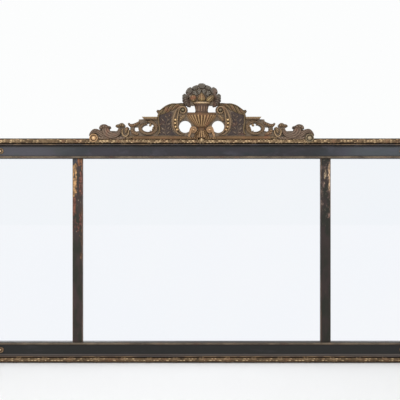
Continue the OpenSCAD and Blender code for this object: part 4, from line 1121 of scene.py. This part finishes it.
# ---- Wing leaves ----
# Two carved leaves run out from the oval: the upper one ends in an upturned point, the lower
# one lies over the strip.
wing_top = beside([[25, 47, 6, 6], [33.5, 41.5, 8, 8], [44.5, 37, 9, 8], [53, 38, 7, 7],
                   [58.5, 44, 3, 4]], oval_x)
wing_low = beside([[27.5, 10, 6, 6], [35.5, 12.5, 11, 8], [44.5, 17, 12, 9], [48, 26, 9, 8]], oval_x)
wing_gilt = gilding("wing_gilt", (0.35, 0.23, 0.13), (0.195, 0.118, 0.069), (0.045, 0.03, 0.022),
                    red=0.45)
wing = [carved(wing_top, leafy(6), step=0.8 * mm, ends=(2, 3)),
        carved(wing_low, leafy(6.5), step=0.8 * mm, ends=(2, 3))]
on_both_sides("wing_carving", "wing_leaf", wing, wing_gilt)


# ---- Curl volutes ----
# A U-shaped volute with a gilt tongue in it stands just past the strip's end, under a leaf whose
# tip curls over, with a low leaf beside it; all carved from one piece.
small_x = strip_half + 21
volute_path = beside([[9, 28, 4, 5], [10, 17, 5, 7], [7, 8, 6, 8], [0, 4.5, 7, 8], [-6, 8, 6, 8],
                      [-9, 16, 5, 7], [-8.5, 24.5, 4, 5]], small_x)
low_leaf_path = beside([[-27, 2.5, 5, 5], [-17, 3, 10, 9], [-7, 0.5, 7, 5], [-1, 0, 5, 4]], small_x)
tongue_path = beside([[-6, 33, 5, 5], [-3, 27, 9, 8], [-1, 20, 9, 8], [0, 13, 5, 5]], small_x)
curl_path = beside([[4, 33.5, 7, 8], [11, 38, 12, 11], [19, 36.5, 8, 8], [25.5, 35.5, 7, 7],
                    [28.5, 32.5, 3, 4]], small_x)
volute = [carved(volute_path, half_round, ends=(2, 2)),
          carved(tongue_path, leafy(6, depth=0.3), step=0.7 * mm, ends=(3, 2)),
          carved(low_leaf_path, leafy(6), step=0.7 * mm, ends=(2, 2)),
          carved(curl_path, leafy(7), step=0.8 * mm, ends=(3, 2))]
on_both_sides("volute_carving", "curl_volute", volute, scroll_gilt)


# ---- End scrolls ----
# The crest runs out in a broad reeded scroll with a leaf shaped like a bird's head on it and
# a turned gilt boss in a ring at its end. The right-hand boss has lost its shine.
end_x = strip_half + 115.5
hump_path = beside([[11.5, 6, 4, 5], [7, 14, 8, 8], [-2.5, 20.5, 12, 10], [-14.5, 18, 14, 11],
                    [-27, 10, 17, 9], [-42, 4.5, 12, 6], [-56, 2, 5, 4]], end_x)
saddle_path = beside([[-79.5, 28, 5, 8], [-77.5, 19, 9, 9], [-70, 11, 14, 11], [-59, 7.5, 18, 12],
                      [-47, 9.5, 21, 13], [-38.5, 16.5, 23, 14], [-35.5, 25, 22, 13],
                      [-35, 33, 12, 10]], end_x)
bird_path = beside([[-22, 24.5, 8, 12], [-25, 31.5, 12, 15], [-33, 33, 14, 16], [-42, 31.5, 9, 13],
                    [-50.5, 32.5, 3, 8]], end_x)
saddle_foot_path = beside([[-96, 1.5, 5, 4], [-84, 0.5, 10, 5], [-70, 0, 9, 4], [-42, 0, 7, 4],
                           [-20, 0.5, 9, 4], [-11, 2, 4, 3]], end_x)
saddle_gilt = gilding("saddle_gilt", (0.31, 0.222, 0.152), (0.132, 0.088, 0.062), (0.030, 0.021, 0.015),
                      shine=0.25, red=0.35, gold_from=0.45)
ring_radii = (12.5, 12.5, 11.8, 10.8, 9.8, 9.2, 9, 0.3)
ring_heights = (0, 5, 6.6, 7, 6.2, 4.5, 3, 3)
ring_ridges = (0, 0.5, 0.8, 0.9, 0.6, 0.2, 0, 0)
end_ring = boss((end_x, frame_h / mm), -crest_d, ring_radii, ring_heights, ring_ridges, 44)
end = [carved(hump_path, reeded(3), across=41, ends=(2, 2)),
       carved(saddle_path, reeded(3, 0.2), across=41, ends=(3, 2)),
       carved(saddle_foot_path, leafy(9, depth=0.3), step=0.8 * mm, ends=(2, 2)),
       carved(bird_path, leafy(8, depth=0.3), step=0.8 * mm, ends=(3, 3))]
on_both_sides("end_carving", "end_scroll", end, saddle_gilt)
end_boss = [end_ring, dome(end_x - 0.5, -0.5, 7, 9)]
boss_gilt = gilding("boss_gilt", (0.66, 0.43, 0.22), (0.34, 0.20, 0.105), (0.05, 0.035, 0.02),
                    red=0.1, up_face_shading=0.0)
dull_gilt = gilding("dull_boss_gilt", (0.30, 0.235, 0.145), (0.155, 0.12, 0.077), (0.05, 0.035, 0.02),
                    red=0.1, up_face_shading=0.0)
left_boss = [flipped(grid, x_about=0) for grid in end_boss]
carving("left_end_boss", "left_end_scroll", left_boss, boss_gilt)
carving("right_end_boss", "right_end_scroll", end_boss, dull_gilt)


# ---- Crest brackets, hangers and rings ----
# Three bent steel angles, screwed to the top rail, hold the crest board upright. On the
# back of each stile a folded brass strap is screwed, with a brass ring in its knuckle.
def worn_metal(name, metal, tarnish, rough):
    """Bare metal with tarnish in clouds and fine scratches."""
    coat = Coat(name)
    colour = coat.blend(coat.step(coat.noise(60, 5, 0.6), 0.4, 0.65), metal, tarnish)
    scratch = coat.noise(300, 4, 0.6, (1, 1, 0.1))
    rough = coat.spread(scratch, rough - 0.12, rough + 0.16)
    return coat.laid({"Base Color": colour, "Metallic": 0.9, "Roughness": rough}, scratch, 0.2, 0.0002)


steel = worn_metal("steel", (0.42, 0.41, 0.39), (0.20, 0.16, 0.13), 0.45)
brass = worn_metal("brass", (0.60, 0.44, 0.20), (0.30, 0.21, 0.11), 0.4)
dress("crest_brackets", steel)
for node in ("left_hanger", "right_hanger", "left_ring", "right_ring"):
    dress(node, brass)


# ---- Screws ----
# Round-head screws, turned, slotted and threaded: steel in the backboards and the crest
# brackets, brass in the hangers.
screw_r, thread_pitch, head_r, head_h = 1.5 * mm, 1.1 * mm, 3 * mm, 1.6 * mm
slot_half = 0.13       # of the head's radius


def screw_head():
    """The slotted dome, lying on the plane out = 0: out = head_h (0.3 + 0.7 sqrt(1 - x^2 - t^2)), x and
    t being shares of the radius; within slot_half of t = 0 it is cut down to 0.3 head_h."""
    x = np.linspace(-0.99, 0.99, 13)[:, None]
    sides = np.array([0.2, 0.4, 0.6, 0.8, 1.0])
    t = np.hstack([-1, -sides[::-1], -slot_half, -slot_half, slot_half, slot_half, sides, 1])
    t = np.clip(t[None, :], -np.sqrt(1 - x ** 2), np.sqrt(1 - x ** 2))
    rise = 0.3 + 0.7 * np.sqrt(np.clip(1 - x ** 2 - t ** 2, 0, 1))
    rise[:, [0, -1]], rise[:, [7, 8]] = 0, 0.3
    return x * head_r + 0 * t, rise * head_h, t * head_r


def screw_shank(reach):
    """The threaded shank, reach long: radius = screw_r (0.8 + 0.2 |2 frac(turn + depth / pitch) - 1|),
    pointed over its last 15 hundredths."""
    turn = np.linspace(0, 1, 14, endpoint=False)[None, :]
    depth = np.linspace(0, 1, int(reach / (0.3 * mm)))[:, None]
    phase = turn + depth * reach / thread_pitch
    thread = 0.8 + 0.2 * np.abs(2 * (phase - np.floor(phase)) - 1)
    radius = thread * np.clip((1 - depth) / 0.15, 0.05, 1) * screw_r
    turn = 2 * math.pi * turn
    return radius * np.cos(turn), -depth * reach + 0 * radius, radius * np.sin(turn)


def screw(at, reach, upward=False):
    """Head and shank of one screw, the head's flat face at the point at, facing +Y or +Z."""
    grids = []
    for along, out, across in (screw_head(), screw_shank(reach)):
        grid = np.stack([along, across, out] if upward else [along, out, across], axis=-1)
        grids.append((grid + np.array(at), {}))
    return grids


def screws(name, places, reach, material):
    """All the screws of one kind as one piece; a place is (point, faces up)."""
    grids = [grid for at, upward in places for grid in screw(at, reach, upward)]
    made = solid(name + "_slotted", grids, material, 40)
    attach(made, "frame")
    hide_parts(name)


# backboards: along their top and bottom, eight screws in the centre board, four in each side board
screw_low, screw_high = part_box("backboard_screws")
from_centre, from_mullion = 40 * mm, 40 * mm
board_x = (from_centre, middle_x - from_mullion, middle_x + from_mullion, screw_high.x - head_r)
places = [((hand * x, 0, z), False) for hand in (-1, 1) for x in board_x
          for z in (screw_low.z + head_r, screw_high.z - head_r)]
screws("backboard_screws", places, 16 * mm, steel)

# brackets: one screw down into the rail and two forward into the crest board
bracket_low, bracket_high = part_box("crest_brackets")
bracket_w, bracket_t = 22 * mm, 2 * mm
bracket_x = bracket_high.x - bracket_w / 2
leg, up = bracket_high.y - bracket_low.y, bracket_high.z - bracket_low.z
places = []
for x in (-bracket_x, 0, bracket_x):
    places.append(((x, bracket_low.y + 0.6 * leg, frame_h + bracket_t), True))
    for share in (0.4, 0.8):
        places.append(((x, bracket_low.y + bracket_t, frame_h + share * up), False))
screws("bracket_screws", places, 12 * mm, steel)

# hangers: two screws to a strap, below its knuckle
strap_t, knuckle_r = 1.2 * mm, 3.15 * mm
places = []
for hanger in ("left_hanger", "right_hanger"):
    hanger_low, hanger_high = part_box(hanger)
    hanger_x = (hanger_low.x + hanger_high.x) / 2
    for drop in (10 * mm, 36 * mm):
        places.append(((hanger_x, strap_t, hanger_high.z - knuckle_r - drop), False))
screws("hanger_screws", places, 11.2 * mm, brass)


# ---- Floor and light ----
# A plain pale floor under the mirror, one large soft lamp high on the left and a weaker one
# on the right; the background is white.
floor_mesh = bpy.data.meshes.new("floor")
floor_half = 12.0
fade_from, fade_to = 1.0, 2.6       # radius over which the floor turns into the white background
floor_mesh.from_pydata([(-floor_half, -floor_half, 0), (floor_half, -floor_half, 0),
                        (floor_half, floor_half, 0), (-floor_half, floor_half, 0)], [], [(0, 1, 2, 3)])
floor = bpy.data.objects.new("floor", floor_mesh)
bpy.context.scene.collection.objects.link(floor)
floor_coat = Coat("floor")
rays = floor_coat.add("ShaderNodeLightPath").outputs
from_middle = floor_coat.add("ShaderNodeVectorMath", {0: floor_coat.place}, operation="LENGTH")
faded = floor_coat.step(from_middle.outputs["Value"], fade_from, fade_to)
far_off = floor_coat.times(faded, rays["Is Camera Ray"])
mirrored = floor_coat.most(rays["Is Glossy Ray"], rays["Is Transmission Ray"])
matt_floor = floor_coat.tree.nodes["Principled BSDF"].outputs[0]
white_floor = floor_coat.add("ShaderNodeEmission", {"Strength": 1.0}).outputs[0]
glowing = floor_coat.most(mirrored, far_off)
floor_mix = floor_coat.add("ShaderNodeMixShader", {0: glowing, 1: matt_floor, 2: white_floor}).outputs[0]
floor_coat.put(floor_mix, floor_coat.tree.nodes["Material Output"].inputs["Surface"])
floor_mesh.materials.append(floor_coat.laid({"Base Color": (0.86, 0.86, 0.86), "Roughness": 0.9}))
floor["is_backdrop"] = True

lamps = (("key", (-1.2, -2.6, 1.85), 50), ("fill", (1.7, -2.6, 1.75), 27))        # name, place, watts
lamp_size = 1.8
aimed_at = np.array([0, 0, 0.4])
for lamp_name, lamp_at, watts in lamps:
    lamp = bpy.data.objects.new(lamp_name, bpy.data.lights.new(lamp_name, "AREA"))
    lamp.data.energy = watts
    lamp.data.size = lamp_size
    lamp.location = lamp_at
    aim = aimed_at - np.array(lamp_at)
    lamp.rotation_euler = (math.atan2(math.hypot(aim[0], aim[1]), -aim[2]), 0, math.atan2(-aim[0], aim[1]))
    bpy.context.scene.collection.objects.link(lamp)

world = bpy.data.worlds.new("studio")
bpy.context.scene.world = world
sky = Coat(world)
rays = sky.add("ShaderNodeLightPath").outputs
seen = sky.most(rays["Is Camera Ray"], sky.most(rays["Is Glossy Ray"], rays["Is Transmission Ray"]))
background = sky.tree.nodes["Background"]
sky.put((0.975, 0.983, 0.983), background.inputs["Color"])
sky.put(sky.spread(seen, 0.68, 1.0), background.inputs["Strength"])
bpy.context.scene.view_settings.view_transform = "Standard"

low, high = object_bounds()
